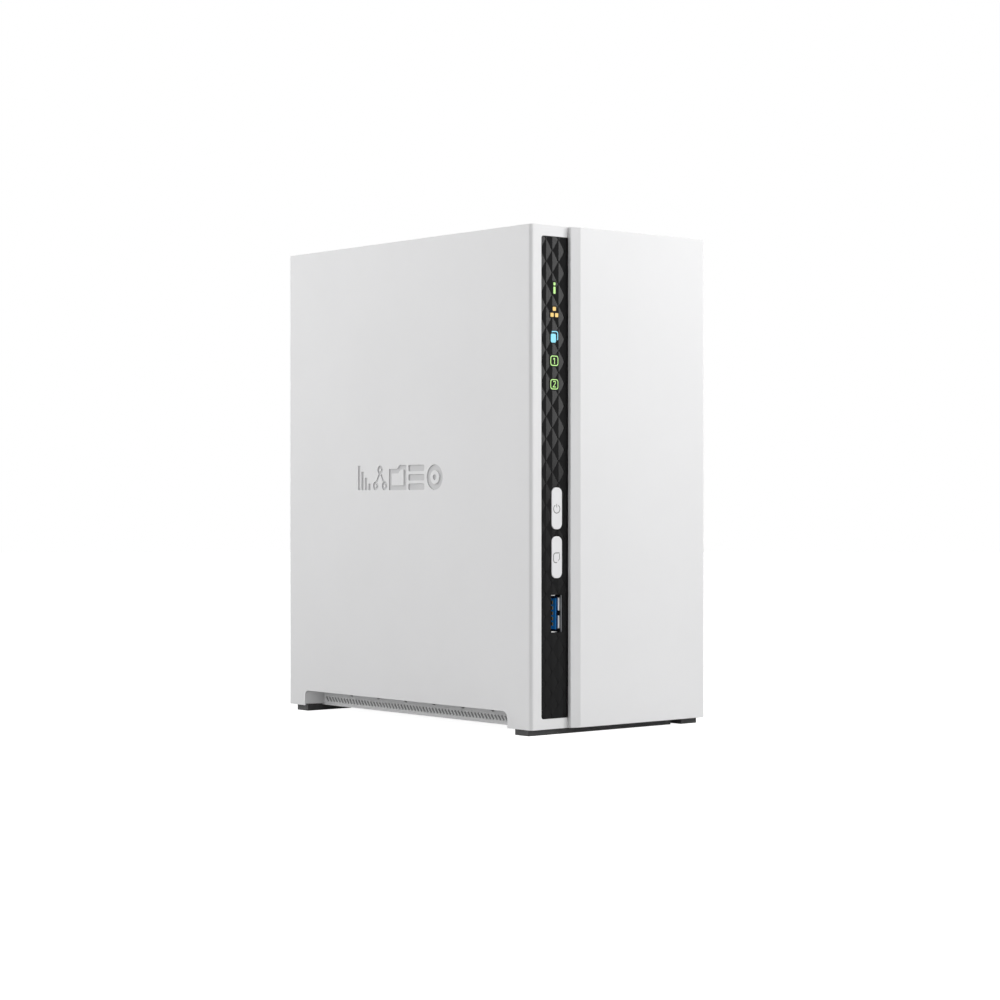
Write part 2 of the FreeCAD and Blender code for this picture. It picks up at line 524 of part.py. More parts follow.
def cage():
    """Folded sheet steel round both drives, open to the right, screwed to four posts."""
    tall, wide = ("cage_low", "cage_high"), ("cage_left", "cage_right")
    front = ("drive_front - sheet", "drive_front")
    back = (DRIVE_BACK, f"{DRIVE_BACK} + sheet")
    shelf = ("cage_low", "cage_low + sheet")
    sheets = [box("cage_web", ("cage_left", "cage_left + sheet"), (front[0], back[1]), tall),
              box("cage_front", wide, front, tall), box("cage_back", wide, back, tall),
              box("cage_shelf_front", wide, (front[0], "drive_front + 12"), shelf),
              box("cage_shelf_back", wide, (f"{DRIVE_BACK} - 12", back[1]), shelf)]
    openings = [box("cage_window_front", ("cage_left + 8", "cage_right - 6"),
                    (f"{front[0]} - 1", f"{front[1]} + 1"), (62, 144)),
                box("cage_window_back", ("cage_left + 8", "cage_right - 6"),
                    (f"{back[0]} - 1", f"{back[1]} + 1"), (62, 144))]
    for index, low_z in enumerate((34, 84, 134)):
        openings.append(box(f"cage_window_web_{index}", ("cage_left - 1", "cage_left + sheet + 0.1"),
                            (-56, 22), (low_z, low_z + 34)))
    for index, (x, y) in enumerate(CAGE_SCREWS):
        openings.append(rod(f"cage_shelf_hole_{index}", "z", 1.6, x, y, ("cage_low - 1", "cage_low + 3")))
    screws = []
    for unit in ("drive_1_x", "drive_2_x"):
        for index, (span, z) in enumerate(drive_screw_places()):
            x = f"{unit} + screw_in"
            out = -1 if index < 2 else 1
            face = front[0] if out < 0 else back[1]
            reach = f"{face} - {out}*4.5"
            head = f"{face} + {out}*1.6"
            stem = (face, reach) if out < 0 else (reach, face)
            cap = (head, face) if out < 0 else (face, head)
            hole = (f"{face} - 2", f"{face} + 2")
            tag = f"{unit}_{index}"
            openings.append(rod(f"cage_hole_{tag}", "y", 1.8, x, hole, z))
            screws.append(join(f"drive_screw_{tag}", [rod(f"drive_stem_{tag}", "y", 1.7, x, stem, z),
                                                      rod(f"drive_head_{tag}", "y", 3.2, x, cap, z)]))
    keep(cut("drive_cage", join("cage_blank", sheets), openings))
    keep(group("drive_screws", screws))


def backplane():
    level = ("backplane_z", "backplane_z + board_thick")
    keep(box("backplane_board", ("backplane_left", "backplane_right"), (-46, 20), level))
    body = box("backplane_socket_body", ("board_face", "backplane_left + 3.5"), (-30, 10),
               ("backplane_z - 1.4", "backplane_z + 3.4"))
    slot = box("backplane_slot", ("backplane_left", "backplane_left + 4"), (-46, 20), level)
    keep(cut("backplane_socket", body, [slot]))
    blocks = []
    for unit in ("drive_1_x", "drive_2_x"):
        base = box(f"{unit}_socket_base", (f"{unit} + 0.4", f"{unit} + 7.4"),
                   around(SPINDLE_Y, 23.5), ("backplane_z + board_thick", "drive_low - 0.2"))
        blade = box(f"{unit}_socket_blade", (f"{unit} + 3.4", f"{unit} + 4.6"),
                    around(SPINDLE_Y, 19), ("drive_low - 1", "drive_low + 4.5"))
        blocks.append(join(f"{unit}_socket", [base, blade]))
    keep(group("drive_sockets", blocks))


# ---------------------------------------------------------------- rear panel and fan

def rear_panel():
    plate = box("rear_plate", (f"{LEFT} + wall", f"{RIGHT} - wall - 0.4"), ("rear_inner", REAR_OUTER),
                (f"{FLOOR_TOP} + 0.3", f"{ROOF_LOW} - 0.3"))
    through = ("rear_inner - 1", f"{REAR_OUTER} + 1")
    openings = [
        rod("fan_opening", "y", "fan_bore", "fan_x", through, "fan_z"),
        box("lan_opening", ("board_face - 0.2", "board_face + 13.7"), through, around("lan_z", 8.2)),
        box("inlet_opening", ("board_face - 0.2", "board_face + 10.2"), through,
            around("inlet_z", 5.2)),
        rod("reset_opening", "y", 1.3, "icon_x", through, "reset_z"),
        box("lock_slot", around(-16, 3.5), through, around(20, 1.5))]
    for z in ("usb_rear_high", "usb_rear_low"):
        openings.append(box(f"{z}_opening", around("usb_x", "usb_wide/2 + 0.2"), through,
                            around(z, "usb_tall/2 + 0.2")))
    for z in ("thumb_low", "thumb_high"):
        openings.append(rod(f"{z}_opening", "y", "shaft_radius + run_gap", "thumb_x", through, z))
    for index, ((x, z), _, _) in enumerate(PANEL_SCREWS):
        openings.append(rod(f"panel_hole_{index}", "y", 1.6, x, through, z))
    for index, (x, z) in enumerate(fan_corners()):
        openings.append(rod(f"fan_hole_{index}", "y", 2.3, x, through, z))
    for index in range(8):
        x = f"fan_x + {5.4 * index - 18.9:.1f}"
        openings.append(box(f"vent_high_{index}", around(x, 1.3), through, (144, 168)))
        openings.append(box(f"vent_low_{index}", around(x, 1.3), through, (34, 58)))
    keep(cut("rear_panel", plate, openings))


def fan_corners():
    return [(f"fan_x + {a}*fan_pitch", f"fan_z + {b}*fan_pitch") for a in (-1, 1) for b in (-1, 1)]


def fan():
    front, back = "rear_inner - fan_deep", "rear_inner"
    x, z = around("fan_x", "fan_side/2"), around("fan_z", "fan_side/2")
    block = prism("fan_block", "XZ", rectangle(*x, *z), front, back,
                  [("key_corner*1.5", [(side, front, end) for side in x for end in z])])
    holes = [rod("fan_duct", "y", "fan_bore", "fan_x", (f"{front} - 1", f"{back} + 1"), "fan_z")]
    screws = []
    for index, (cx, cz) in enumerate(fan_corners()):
        holes.append(rod(f"fan_corner_{index}", "y", 2.2, cx, (f"{front} - 1", f"{back} + 1"), cz))
        stem = rod(f"fan_stem_{index}", "y", 2.2, cx, ("rear_inner - 9", f"{REAR_OUTER} + 1.5"), cz)
        head = rod(f"fan_head_{index}", "y", 3.6, cx, (f"{REAR_OUTER} + 1.2", f"{REAR_OUTER} + 3"), cz)
        screws.append(join(f"fan_screw_{index}", [stem, head]))
    duct = cut("fan_duct_frame", block, holes)
    arms = [rod("fan_motor_plate", "y", 14.5, "fan_x", (f"{back} - 2", back), "fan_z"),
            rod("fan_shaft", "y", "shaft_radius", "fan_x", (f"{back} - 17", back), "fan_z")]
    for index in range(3):
        arm = box(f"fan_strut_{index}", ("fan_x", "fan_x + 29.2"), (f"{back} - 2", back),
                  ("fan_z", "fan_z + 2.4"))
        arm.Placement = Placement(arm.Placement.Base, Rotation(Vector(0, 1, 0), 90 + 120 * index))
        arms.append(arm)
    keep(join("fan_frame", [duct] + arms))
    keep(group("fan_screws", screws))
    rings = [rod("fan_guard_boss", "y", 4, "fan_x", (REAR_OUTER, f"{REAR_OUTER} + 1.2"), "fan_z")]
    for index, radius in enumerate((10, 16, 22, 28)):
        ring = doc.addObject("Part::Torus", f"fan_ring_{index}")
        ring.Placement = Placement(Vector(), ALONG["y"])
        bind(ring, "Radius1", radius)
        bind(ring, "Radius2", 0.6)
        for axis, place in zip("xyz", ("fan_x", f"{REAR_OUTER} + 0.6", "fan_z")):
            bind(ring, f"Placement.Base.{axis}", place)
        rings.append(ring)
    for index, (cx, cz) in enumerate(fan_corners()):
        spoke = box(f"fan_spoke_{index}", ("fan_x", "fan_x + 34"), (REAR_OUTER, f"{REAR_OUTER} + 1.2"),
                    ("fan_z", "fan_z + 1.2"))
        spoke.Placement = Placement(spoke.Placement.Base, Rotation(Vector(0, 1, 0), 45 + 90 * index))
        rings += [spoke, rod(f"fan_eye_{index}", "y", 4.2, cx, (REAR_OUTER, f"{REAR_OUTER} + 1.2"), cz)]
    eyes = [rod(f"fan_eye_hole_{index}", "y", 2.3, cx, (f"{REAR_OUTER} - 1", f"{REAR_OUTER} + 2"), cz)
            for index, (cx, cz) in enumerate(fan_corners())]
    keep(cut("fan_guard", join("fan_guard_wires", rings), eyes))


def fan_rotor():
    """A hub with leaning blades, one drawn and the rest patterned round the hub."""
    body = doc.addObject("PartDesign::Body", "fan_rotor")
    hub = body.newObject("Sketcher::SketchObject", "rotor_hub_outline")
    across = [item for item in body.Origin.OriginFeatures if item.Role == "XZ_Plane"][0]
    hub.AttachmentSupport = [(across, "")]
    hub.MapMode = "FlatFace"
    for radius in (number("fan_bore/2"), number("shaft_radius + run_gap")):
        index = hub.addGeometry(Part.Circle(Vector(), Vector(0, 0, 1), radius), False)
        hub.addConstraint(Sketcher.Constraint("Coincident", index, 3, -1, 1))
    for index, radius in enumerate(("fan_bore/2", "shaft_radius + run_gap")):
        rule = hub.addConstraint(Sketcher.Constraint("Radius", index, number(radius)))
        bind(hub, f"Constraints[{rule}]", radius)
    pad = body.newObject("PartDesign::Pad", "rotor_hub")
    pad.Profile = hub
    pad.Midplane = True
    bind(pad, "Length", "fan_deep - 4.6")
    body.Tip = pad
    doc.recompute()
    lean = [(-9, -7), (-9, -5.4), (9, 7), (9, 5.4)]
    blade = body.newObject("PartDesign::Pad", "rotor_blade")
    blade.Profile = outline(body, "YZ", lean, 12)
    bind(blade, "Length", "fan_bore - 13.6")
    body.Tip = blade
    doc.recompute()
    turn = body.newObject("PartDesign::PolarPattern", "rotor_blades")
    turn.Originals = [blade]
    turn.Axis = ([item for item in body.Origin.OriginFeatures if item.Role == "Y_Axis"][0], [""])
    turn.Angle = 360
    turn.Occurrences = 7
    body.Tip = turn
    for axis, place in zip("xyz", ("fan_x", "rear_inner - 2.4 - (fan_deep - 4.6)/2", "fan_z")):
        bind(body, f"Placement.Base.{axis}", place)
    keep(body)


def fan_cable():
    """A thin cable from the fan to its header: straight runs joined by tangent arcs."""
    left, face = number("fan_x - fan_side/2"), number("board_face")
    route = [Vector(left, 57, 88), Vector(left - 7, 57, 88), Vector(left - 10.5, 51, 80),
             Vector(face + 3, 40, 72), Vector(face + 3, 40, 60)]
    edges = []
    start = route[0]
    for before, corner, after in zip(route, route[1:], route[2:]):
        inward, outward = corner - before, after - corner
        half_turn = inward.getAngle(outward) / 2
        trim = 0.45 * min(inward.Length, outward.Length)
        radius = trim / math.tan(half_turn)
        first = corner - inward.normalize() * trim
        last = corner + outward.normalize() * trim
        chord_middle = (first + last) * 0.5
        top = chord_middle + (corner - chord_middle).normalize() * radius * (1 - math.cos(half_turn))
        edges.append(Part.LineSegment(start, first).toShape())
        edges.append(Part.Arc(first, top, last).toShape())
        start = last
        print(f"fan cable bend radius {radius:.1f}")
    edges.append(Part.LineSegment(start, route[-1]).toShape())
    ring = Part.Wire([Part.Circle(route[0], route[1] - route[0], CABLE_RADIUS).toShape()])
    path = Part.Wire(edges)
    feature = doc.addObject("Part::Feature", "fan_cable")
    feature.Shape = path.makePipeShell([ring], True, False)
    expected = math.pi * CABLE_RADIUS ** 2 * path.Length
    print(f"fan cable volume {feature.Shape.Volume:.1f}, expected {expected:.1f}")
    keep(feature)
    keep(on_board("fan_header", 6, (37, 43), (54, 60)))


def thumbscrews():
    for index, z in enumerate(("thumb_low", "thumb_high"), start=1):
        head = rod(f"thumb_head_{index}", "y", 3.6, "thumb_x",
                   (f"{REAR_OUTER} + 0.1", f"{BACK} - 0.1"), z)
        slot = box(f"thumb_slot_{index}", around("thumb_x", 3), (f"{BACK} - 0.9", f"{BACK} + 1"),
                   around(z, 0.5))
        stem = rod(f"thumb_stem_{index}", "y", "shaft_radius", "thumb_x",
                   ("rear_inner - 6", f"{REAR_OUTER} + 1"), z)
        keep(cut(f"thumbscrew_{index}", join(f"thumb_blank_{index}", [head, stem]), [slot]))


# ---------------------------------------------------------------- build

casing()
access_cover()
feet()
indicator_strip()
mainboard()
sockets()
cage()
drive(1)
drive(2)
backplane()
rear_panel()
fan()
fan_rotor()
fan_cable()
thumbscrews()
doc.recompute()

# ---------------------------------------------------------------- checks and files

for item in doc.Objects:
    if "Invalid" in item.State or "Error" in item.State:
        raise RuntimeError(f"{item.Name} failed: {item.State}")
for item in nodes:
    if item.Shape.isNull() or not item.Shape.isValid() or not item.Shape.Solids:
        raise RuntimeError(f"{item.Label} has no valid solid")
os.makedirs("parts", exist_ok=True)
for item in nodes:
    item.Shape.exportStep(f"parts/{item.Label}.step")
print(len(nodes), "nodes written")
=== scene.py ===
import json
import math
import random

import bmesh
import bpy
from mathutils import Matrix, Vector

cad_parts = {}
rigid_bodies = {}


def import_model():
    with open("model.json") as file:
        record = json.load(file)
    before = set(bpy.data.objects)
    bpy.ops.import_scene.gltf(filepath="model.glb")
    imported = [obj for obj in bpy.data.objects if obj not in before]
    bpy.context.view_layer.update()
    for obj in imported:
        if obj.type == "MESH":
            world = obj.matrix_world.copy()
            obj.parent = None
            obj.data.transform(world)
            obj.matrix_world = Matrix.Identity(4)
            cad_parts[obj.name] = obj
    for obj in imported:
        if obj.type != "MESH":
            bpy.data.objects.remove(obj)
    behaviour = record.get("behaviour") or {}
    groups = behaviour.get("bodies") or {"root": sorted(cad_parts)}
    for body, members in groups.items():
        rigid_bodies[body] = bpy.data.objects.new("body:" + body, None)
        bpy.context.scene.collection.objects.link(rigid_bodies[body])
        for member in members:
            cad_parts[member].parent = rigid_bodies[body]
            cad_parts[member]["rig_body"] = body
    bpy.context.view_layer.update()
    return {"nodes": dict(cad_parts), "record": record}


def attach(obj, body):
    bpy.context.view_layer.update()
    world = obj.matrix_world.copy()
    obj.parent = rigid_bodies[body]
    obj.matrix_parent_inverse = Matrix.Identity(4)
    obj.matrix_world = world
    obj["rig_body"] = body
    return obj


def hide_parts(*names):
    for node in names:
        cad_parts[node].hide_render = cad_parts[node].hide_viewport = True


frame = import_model()
NODES = frame["nodes"]
SLOT_OF = {part["node"]: part["material_slot"] for part in frame["record"]["subparts"]}
BODY_OF = {node: piece["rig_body"] for node, piece in NODES.items()}
MM = 0.001
EDGE = 0.0002
LENS, SENSOR = 85, 36
EYE = (-0.61405, -0.72994, 0.08706)
EYE_TURN = -40.256
FLOOR_RADIUS = 3
AIM_HEIGHT = 0.1
WORLD_LIGHT = 0.319
FLOOR_GLOW = 0.023
# name, degrees from straight ahead, distance, height, (width, length) in metres, watts
LAMPS = (
    ("key", 49.5, 1.5, 0.7, (0.46, 1.25), 12.06),
    ("side", 76, 1.4, 0.5, (0.8, 0.7), 4.0),
    ("front", 12, 0.5, 0.62, (0.3, 0.3), 2.01),
    ("fill", -105, 0.95, 0.5, (1.0, 0.8), 3.57),
    ("back", -150, 1.1, 0.5, (0.8, 0.8), 5.41),
)


# ---------------------------------------------------------------- camera, floor and light

def camera():
    """A long lens at desk height, forty degrees to the left of straight on."""
    view = bpy.data.cameras.new("camera")
    view.lens = LENS
    view.sensor_width = SENSOR
    eye = bpy.data.objects.new("camera", view)
    eye.location = EYE
    eye.rotation_euler = (math.radians(90), 0, math.radians(EYE_TURN))
    bpy.context.scene.collection.objects.link(eye)
    bpy.context.scene.camera = eye


def panel_light(name, azimuth, distance, height, size, power):
    """A rectangular lamp at an azimuth from straight ahead, aimed at the object's middle."""
    lamp = bpy.data.lights.new(name, "AREA")
    lamp.shape = "RECTANGLE"
    lamp.size, lamp.size_y = size
    lamp.energy = power
    holder = bpy.data.objects.new(name, lamp)
    turn = math.radians(azimuth)
    holder.location = (distance * math.sin(turn), -distance * math.cos(turn), height)
    aim = Vector((0, 0, AIM_HEIGHT)) - holder.location
    holder.rotation_euler = aim.to_track_quat("-Z", "Y").to_euler()
    bpy.context.scene.collection.objects.link(holder)


def only_seen(tree, seen, unseen, output):
    """Show one shader to the eye and light the room with the other."""
    path = tree.nodes.new("ShaderNodeLightPath")
    mix = tree.nodes.new("ShaderNodeMixShader")
    tree.links.new(path.outputs["Is Camera Ray"], mix.inputs[0])
    tree.links.new(unseen, mix.inputs[1])
    tree.links.new(seen, mix.inputs[2])
    tree.links.new(mix.outputs[0], output.inputs["Surface"])


def studio():
    """A white room: soft light all round, lamps to the front right, fills to the left and behind."""
    bpy.context.scene.view_settings.view_transform = "Standard"
    world = bpy.data.worlds.new("studio")
    bpy.context.scene.world = world
    world.use_nodes = True
    tree = world.node_tree
    soft = tree.nodes["Background"]
    soft.inputs["Color"].default_value = (1, 1, 1, 1)
    soft.inputs["Strength"].default_value = WORLD_LIGHT
    white = tree.nodes.new("ShaderNodeBackground")
    white.inputs["Color"].default_value = (1, 1, 1, 1)
    only_seen(tree, white.outputs[0], soft.outputs[0], tree.nodes["World Output"])
    for lamp in LAMPS:
        panel_light(*lamp)
    mesh = bpy.data.meshes.new("floor")
    edge = bmesh.new()
    bmesh.ops.create_circle(edge, cap_ends=True, segments=64, radius=FLOOR_RADIUS)
    edge.to_mesh(mesh)
    edge.free()
    floor = bpy.data.objects.new("floor", mesh)
    bpy.context.scene.collection.objects.link(floor)
    paper = bpy.data.materials.new("floor_paper")
    paper.use_nodes = True
    tree = paper.node_tree
    shader = tree.nodes["Principled BSDF"]
    shader.inputs["Base Color"].default_value = (0.5, 0.5, 0.5, 1)
    shader.inputs["Roughness"].default_value = 0.9
    shader.inputs["Specular IOR Level"].default_value = 0.1
    shader.inputs["Emission Color"].default_value = (1, 1, 1, 1)
    shader.inputs["Emission Strength"].default_value = 0.95
    plain = tree.nodes.new("ShaderNodeBsdfDiffuse")
    plain.inputs["Color"].default_value = (0.5, 0.5, 0.5, 1)
    glow = tree.nodes.new("ShaderNodeEmission")
    glow.inputs["Strength"].default_value = FLOOR_GLOW
    both = tree.nodes.new("ShaderNodeAddShader")
    tree.links.new(plain.outputs[0], both.inputs[0])
    tree.links.new(glow.outputs[0], both.inputs[1])
    only_seen(tree, shader.outputs[0], both.outputs[0], tree.nodes["Material Output"])
    mesh.materials.append(paper)


# ---------------------------------------------------------------- materials

def mapped(tree, stretch):
    """Object coordinates in metres, scaled per axis."""
    place = tree.nodes.new("ShaderNodeTexCoord")
    scale = tree.nodes.new("ShaderNodeMapping")
    scale.inputs["Scale"].default_value = stretch
    tree.links.new(place.outputs["Object"], scale.inputs["Vector"])
    return scale.outputs["Vector"]


def noise(tree, vector, scale, detail=2.0, rough=0.5):
    node = tree.nodes.new("ShaderNodeTexNoise")
    node.inputs["Scale"].default_value = scale
    node.inputs["Detail"].default_value = detail
    node.inputs["Roughness"].default_value = rough
    tree.links.new(vector, node.inputs["Vector"])
    return node.outputs["Fac"]


def spread(tree, value, low, high, start=0.3, stop=0.7):
    node = tree.nodes.new("ShaderNodeMapRange")
    for socket, number in zip(("From Min", "From Max", "To Min", "To Max"), (start, stop, low, high)):
        node.inputs[socket].default_value = number
    tree.links.new(value, node.inputs["Value"])
    return node.outputs["Result"]


def tinted(tree, value, dark, light):
    node = tree.nodes.new("ShaderNodeMix")
    node.data_type = "RGBA"
    node.inputs["A"].default_value = (*dark, 1)
    node.inputs["B"].default_value = (*light, 1)
    tree.links.new(value, node.inputs["Factor"])
    return node.outputs["Result"]


def bumped(tree, value, shader, strength, distance):
    node = tree.nodes.new("ShaderNodeBump")
    node.inputs["Strength"].default_value = strength
    node.inputs["Distance"].default_value = distance
    tree.links.new(value, node.inputs["Height"])
    tree.links.new(node.outputs["Normal"], shader.inputs["Normal"])


def surface(name, colour, rough, metal=0.0, varied=0.03, grain=2600, depth=0.00001,
            stretch=(1, 1, 1), coat=0.0, specular=0.5, spread_rough=0.06):
    """A material whose colour, gloss and relief all vary a little, at the scale of its grain."""
    material = bpy.data.materials.new(name)
    material.use_nodes = True
    tree = material.node_tree
    shader = tree.nodes["Principled BSDF"]
    shader.inputs["Metallic"].default_value = metal
    shader.inputs["Specular IOR Level"].default_value = specular
    shader.inputs["Coat Weight"].default_value = coat
    vector = mapped(tree, stretch)
    cloudy = noise(tree, vector, 35, 3)
    fine = noise(tree, vector, grain, 3, 0.6)
    dark = [channel * (1 - varied) for channel in colour]
    light = [min(1, channel * (1 + varied)) for channel in colour]
    tree.links.new(tinted(tree, spread(tree, cloudy, 0, 1), dark, light), shader.inputs["Base Color"])
    tree.links.new(spread(tree, fine, rough - spread_rough, rough + spread_rough),
                   shader.inputs["Roughness"])
    bumped(tree, fine, shader, 1.0, depth)
    return material


def glowing(name, colour, strength):
    """A light guide: coloured plastic lit from behind."""
    material = surface(name, [channel * 0.15 for channel in colour], 0.3)
    shader = material.node_tree.nodes["Principled BSDF"]
    shader.inputs["Emission Color"].default_value = (*colour, 1)
    shader.inputs["Emission Strength"].default_value = strength
    return material


def circuit_board(name, mask, trace):
    """Solder mask with copper tracks under it and small bare pads."""
    material = surface(name, mask, 0.35, varied=0.08, coat=0.3)
    tree = material.node_tree
    shader = tree.nodes["Principled BSDF"]
    lines = tree.nodes.new("ShaderNodeTexVoronoi")
    lines.feature = "DISTANCE_TO_EDGE"
    lines.inputs["Scale"].default_value = 260
    tree.links.new(mapped(tree, (1, 1, 0.35)), lines.inputs["Vector"])
    on_track = spread(tree, lines.outputs["Distance"], 1, 0, 0.03, 0.06)
    dots = tree.nodes.new("ShaderNodeTexVoronoi")
    dots.inputs["Scale"].default_value = 330
    tree.links.new(mapped(tree, (1, 1, 1)), dots.inputs["Vector"])
    on_pad = spread(tree, dots.outputs["Distance"], 1, 0, 0.13, 0.17)
    before = shader.inputs["Base Color"].links[0].from_socket
    track = tree.nodes.new("ShaderNodeMix")
    track.data_type = "RGBA"
    track.inputs["B"].default_value = (*trace, 1)
    tree.links.new(on_track, track.inputs["Factor"])
    tree.links.new(before, track.inputs["A"])
    pad = tree.nodes.new("ShaderNodeMix")
    pad.data_type = "RGBA"
    pad.inputs["B"].default_value = (0.72, 0.66, 0.5, 1)
    tree.links.new(on_pad, pad.inputs["Factor"])
    tree.links.new(track.outputs["Result"], pad.inputs["A"])
    tree.links.new(pad.outputs["Result"], shader.inputs["Base Color"])
    return material


def make_materials():
    metal = {"metal": 1.0, "varied": 0.05}
    return {
        "shell_white": surface("shell_white", (0.80, 0.80, 0.805), 0.46, varied=0.008, depth=0.000006,
                               specular=0.35),
        "button_white": surface("button_white", (0.80, 0.80, 0.81), 0.38, varied=0.01, depth=0.000004),
        "strip_black": surface("strip_black", (0.0135, 0.0135, 0.014), 0.17, varied=0.1, depth=0.000001,
                               specular=0.1, spread_rough=0.02),
        "light_green": glowing("light_green", (0.55, 0.95, 0.29), 0.92),
        "light_amber": glowing("light_amber", (0.90, 0.60, 0.17), 0.92),
        "light_cyan": glowing("light_cyan", (0.25, 0.74, 0.92), 0.92),
        "foot_rubber": surface("foot_rubber", (0.085, 0.085, 0.085), 0.75, varied=0.1, depth=0.00003,
                               grain=1800),
        "board_green": circuit_board("board_green", (0.012, 0.09, 0.045), (0.03, 0.17, 0.08)),
        "part_black": surface("part_black", (0.018, 0.018, 0.02), 0.5, varied=0.12, depth=0.00001),
        "fan_black": surface("fan_black", (0.02, 0.02, 0.022), 0.42, varied=0.1, depth=0.000008),
        "usb_blue": surface("usb_blue", (0.02, 0.25, 0.7), 0.45, varied=0.06, depth=0.000004,
                            specular=0.15),
        "contact_gold": surface("contact_gold", (0.83, 0.6, 0.25), 0.24, **metal),
        "steel": surface("steel", (0.55, 0.56, 0.57), 0.36, stretch=(1, 1, 0.06), **metal),
        "bright_steel": surface("bright_steel", (0.74, 0.75, 0.76), 0.2, stretch=(1, 0.1, 1), **metal),
        "cast_alloy": surface("cast_alloy", (0.42, 0.43, 0.44), 0.55, metal=0.85, varied=0.1,
                              grain=1400, depth=0.00005),
        "fin_alloy": surface("fin_alloy", (0.66, 0.67, 0.69), 0.34, stretch=(1, 1, 0.05), **metal),
        "disc_mirror": surface("disc_mirror", (0.86, 0.87, 0.89), 0.06, metal=1.0, varied=0.01,
                               depth=0.0000005, spread_rough=0.02),
        # darker grey for the floors of the sunk side pictures: painted shade
        "painted_mark_shade": surface("painted_mark_shade", (0.63, 0.63, 0.635), 0.6, varied=0.01, depth=0.00001,
                              specular=0.3),
        # dark copy of the tongue's blue for its front end: painted shade
        "usb_shade": surface("usb_shade", (0.001, 0.008, 0.035), 0.6, varied=0.06, depth=0.000004,
                             specular=0.05),
        "finger_tin": surface("finger_tin", (0.85, 0.85, 0.85), 0.4, varied=0.03, depth=0.000003),
        # dark grey copy of the socket's tin for its inner wall: painted shade
        "wall_tin_painted_shade": surface("wall_tin_painted_shade", (0.2, 0.205, 0.22), 0.4, varied=0.03, depth=0.000003),
        "lip_tin": surface("lip_tin", (0.75, 0.75, 0.75), 0.35, varied=0.02, depth=0.000003),
        "pad_gold": surface("pad_gold", (0.55, 0.44, 0.2), 0.4, metal=0.2, varied=0.05, depth=0.000003),
        # near-black for holes and pockets deep in the front socket: painted shade
        "painted_shade_black": surface("painted_shade_black", (0.003, 0.003, 0.003), 0.8, varied=0.1, depth=0.000003,
                              specular=0.05),
        # grey for the sheet behind the vent slots: painted shade
        "vent_screen": surface("vent_screen", (0.3, 0.3, 0.3), 0.8, varied=0.1, depth=0.00003,
                               grain=1800, specular=0.2),
        # dark grey for the floors of the key grooves: painted shade
        "key_groove_shade": surface("key_groove_shade", (0.2, 0.2, 0.2), 0.6, varied=0.02, depth=0.000004,
                            specular=0.3),
        "label_paper": surface("label_paper", (0.74, 0.74, 0.73), 0.55, varied=0.03, depth=0.000004),
        "label_ink": surface("label_ink", (0.05, 0.055, 0.06), 0.5, varied=0.1, depth=0.000002),
        "pin_tin": surface("pin_tin", (0.7, 0.7, 0.69), 0.28, **metal),
        "cable_black": surface("cable_black", (0.02, 0.02, 0.02), 0.55, varied=0.15, depth=0.00002),
    }


# ---------------------------------------------------------------- mesh helpers

def placed(name, mesh, node, slot=None, look=None):
    """A new piece that rides with the node's body; its look is its slot's unless one is given."""
    piece = bpy.data.objects.new(name, mesh)
    bpy.context.scene.collection.objects.link(piece)
    slot = slot or SLOT_OF[node]
    mesh.materials.clear()
    mesh.materials.append(MATERIALS[look or slot])
    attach(piece, BODY_OF[node])
    return piece


def smooth(piece, angle):
    """Smooth shading, except over edges that turn more than the angle."""
    piece.data.shade_smooth()
    piece.data.set_sharp_from_angle(angle=math.radians(angle))
    return piece


def soften(piece, width, segments=3, angle=32):
    """Small rounded edges, as moulding leaves them."""
    smooth(piece, angle)
    rounding = piece.modifiers.new("edges", "BEVEL")
    rounding.width = width
    rounding.segments = segments
    rounding.limit_method = "ANGLE"
    rounding.angle_limit = math.radians(angle)
    rounding.harden_normals = True
    return piece


def clean_copy(node):
    """The node's shape as one welded mesh with flat faces whole again."""
    work = bmesh.new()
    work.from_mesh(NODES[node].data)
    bmesh.ops.remove_doubles(work, verts=work.verts, dist=0.000001)
    bmesh.ops.dissolve_limit(work, angle_limit=math.radians(0.5), verts=work.verts, edges=work.edges)
    mesh = bpy.data.meshes.new(node + "_skin")
    work.to_mesh(mesh)
    work.free()
    return mesh


def creased(piece, area=20):
    """Keep the shallow edges between large flat faces crisp."""
    work = bmesh.new()
    work.from_mesh(piece.data)
    for edge in work.edges:
        if len(edge.link_faces) != 2:
            continue
        smaller = min(face.calc_area() for face in edge.link_faces)
        if smaller > area * MM * MM and edge.calc_face_angle() > math.radians(5):
            edge.smooth = False
    work.to_mesh(piece.data)
    work.free()
    return piece


def skin(node, width, segments=3):
    """The node's own shape with softened edges and flat faces that stay flat."""
    piece = placed(node + "_skin", clean_copy(node), node)
    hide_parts(node)
    return evened(creased(soften(piece, width, segments)))


# ---------------------------------------------------------------- shapes drawn in millimetres

ACROSS = {
    "x": lambda a, b, level: (level, a, b),
    "y": lambda a, b, level: (a, level, b),
    "z": lambda a, b, level: (a, b, level),
}


def walled(loops_low, loops_high, caps):
    """A closed solid from matching loops at two levels; caps joins each level's loops."""
    work = bmesh.new()
    low = [[work.verts.new(Vector(spot) * MM) for spot in loop] for loop in loops_low]
    high = [[work.verts.new(Vector(spot) * MM) for spot in loop] for loop in loops_high]
    for under, over in zip(low, high):
        for index in range(len(under)):
            follow = (index + 1) % len(under)
            work.faces.new((under[index], under[follow], over[follow], over[index]))
    for level in (low, high):
        caps(work, level)
    bmesh.ops.recalc_face_normals(work, faces=work.faces)
    return work


def slab(points, low, high, axis="y"):
    """An outline drawn across an axis, made solid between two levels along it."""
    return walled([[ACROSS[axis](a, b, low) for a, b in points]],
                  [[ACROSS[axis](a, b, high) for a, b in points]],
                  lambda work, level: work.faces.new(level[0]))


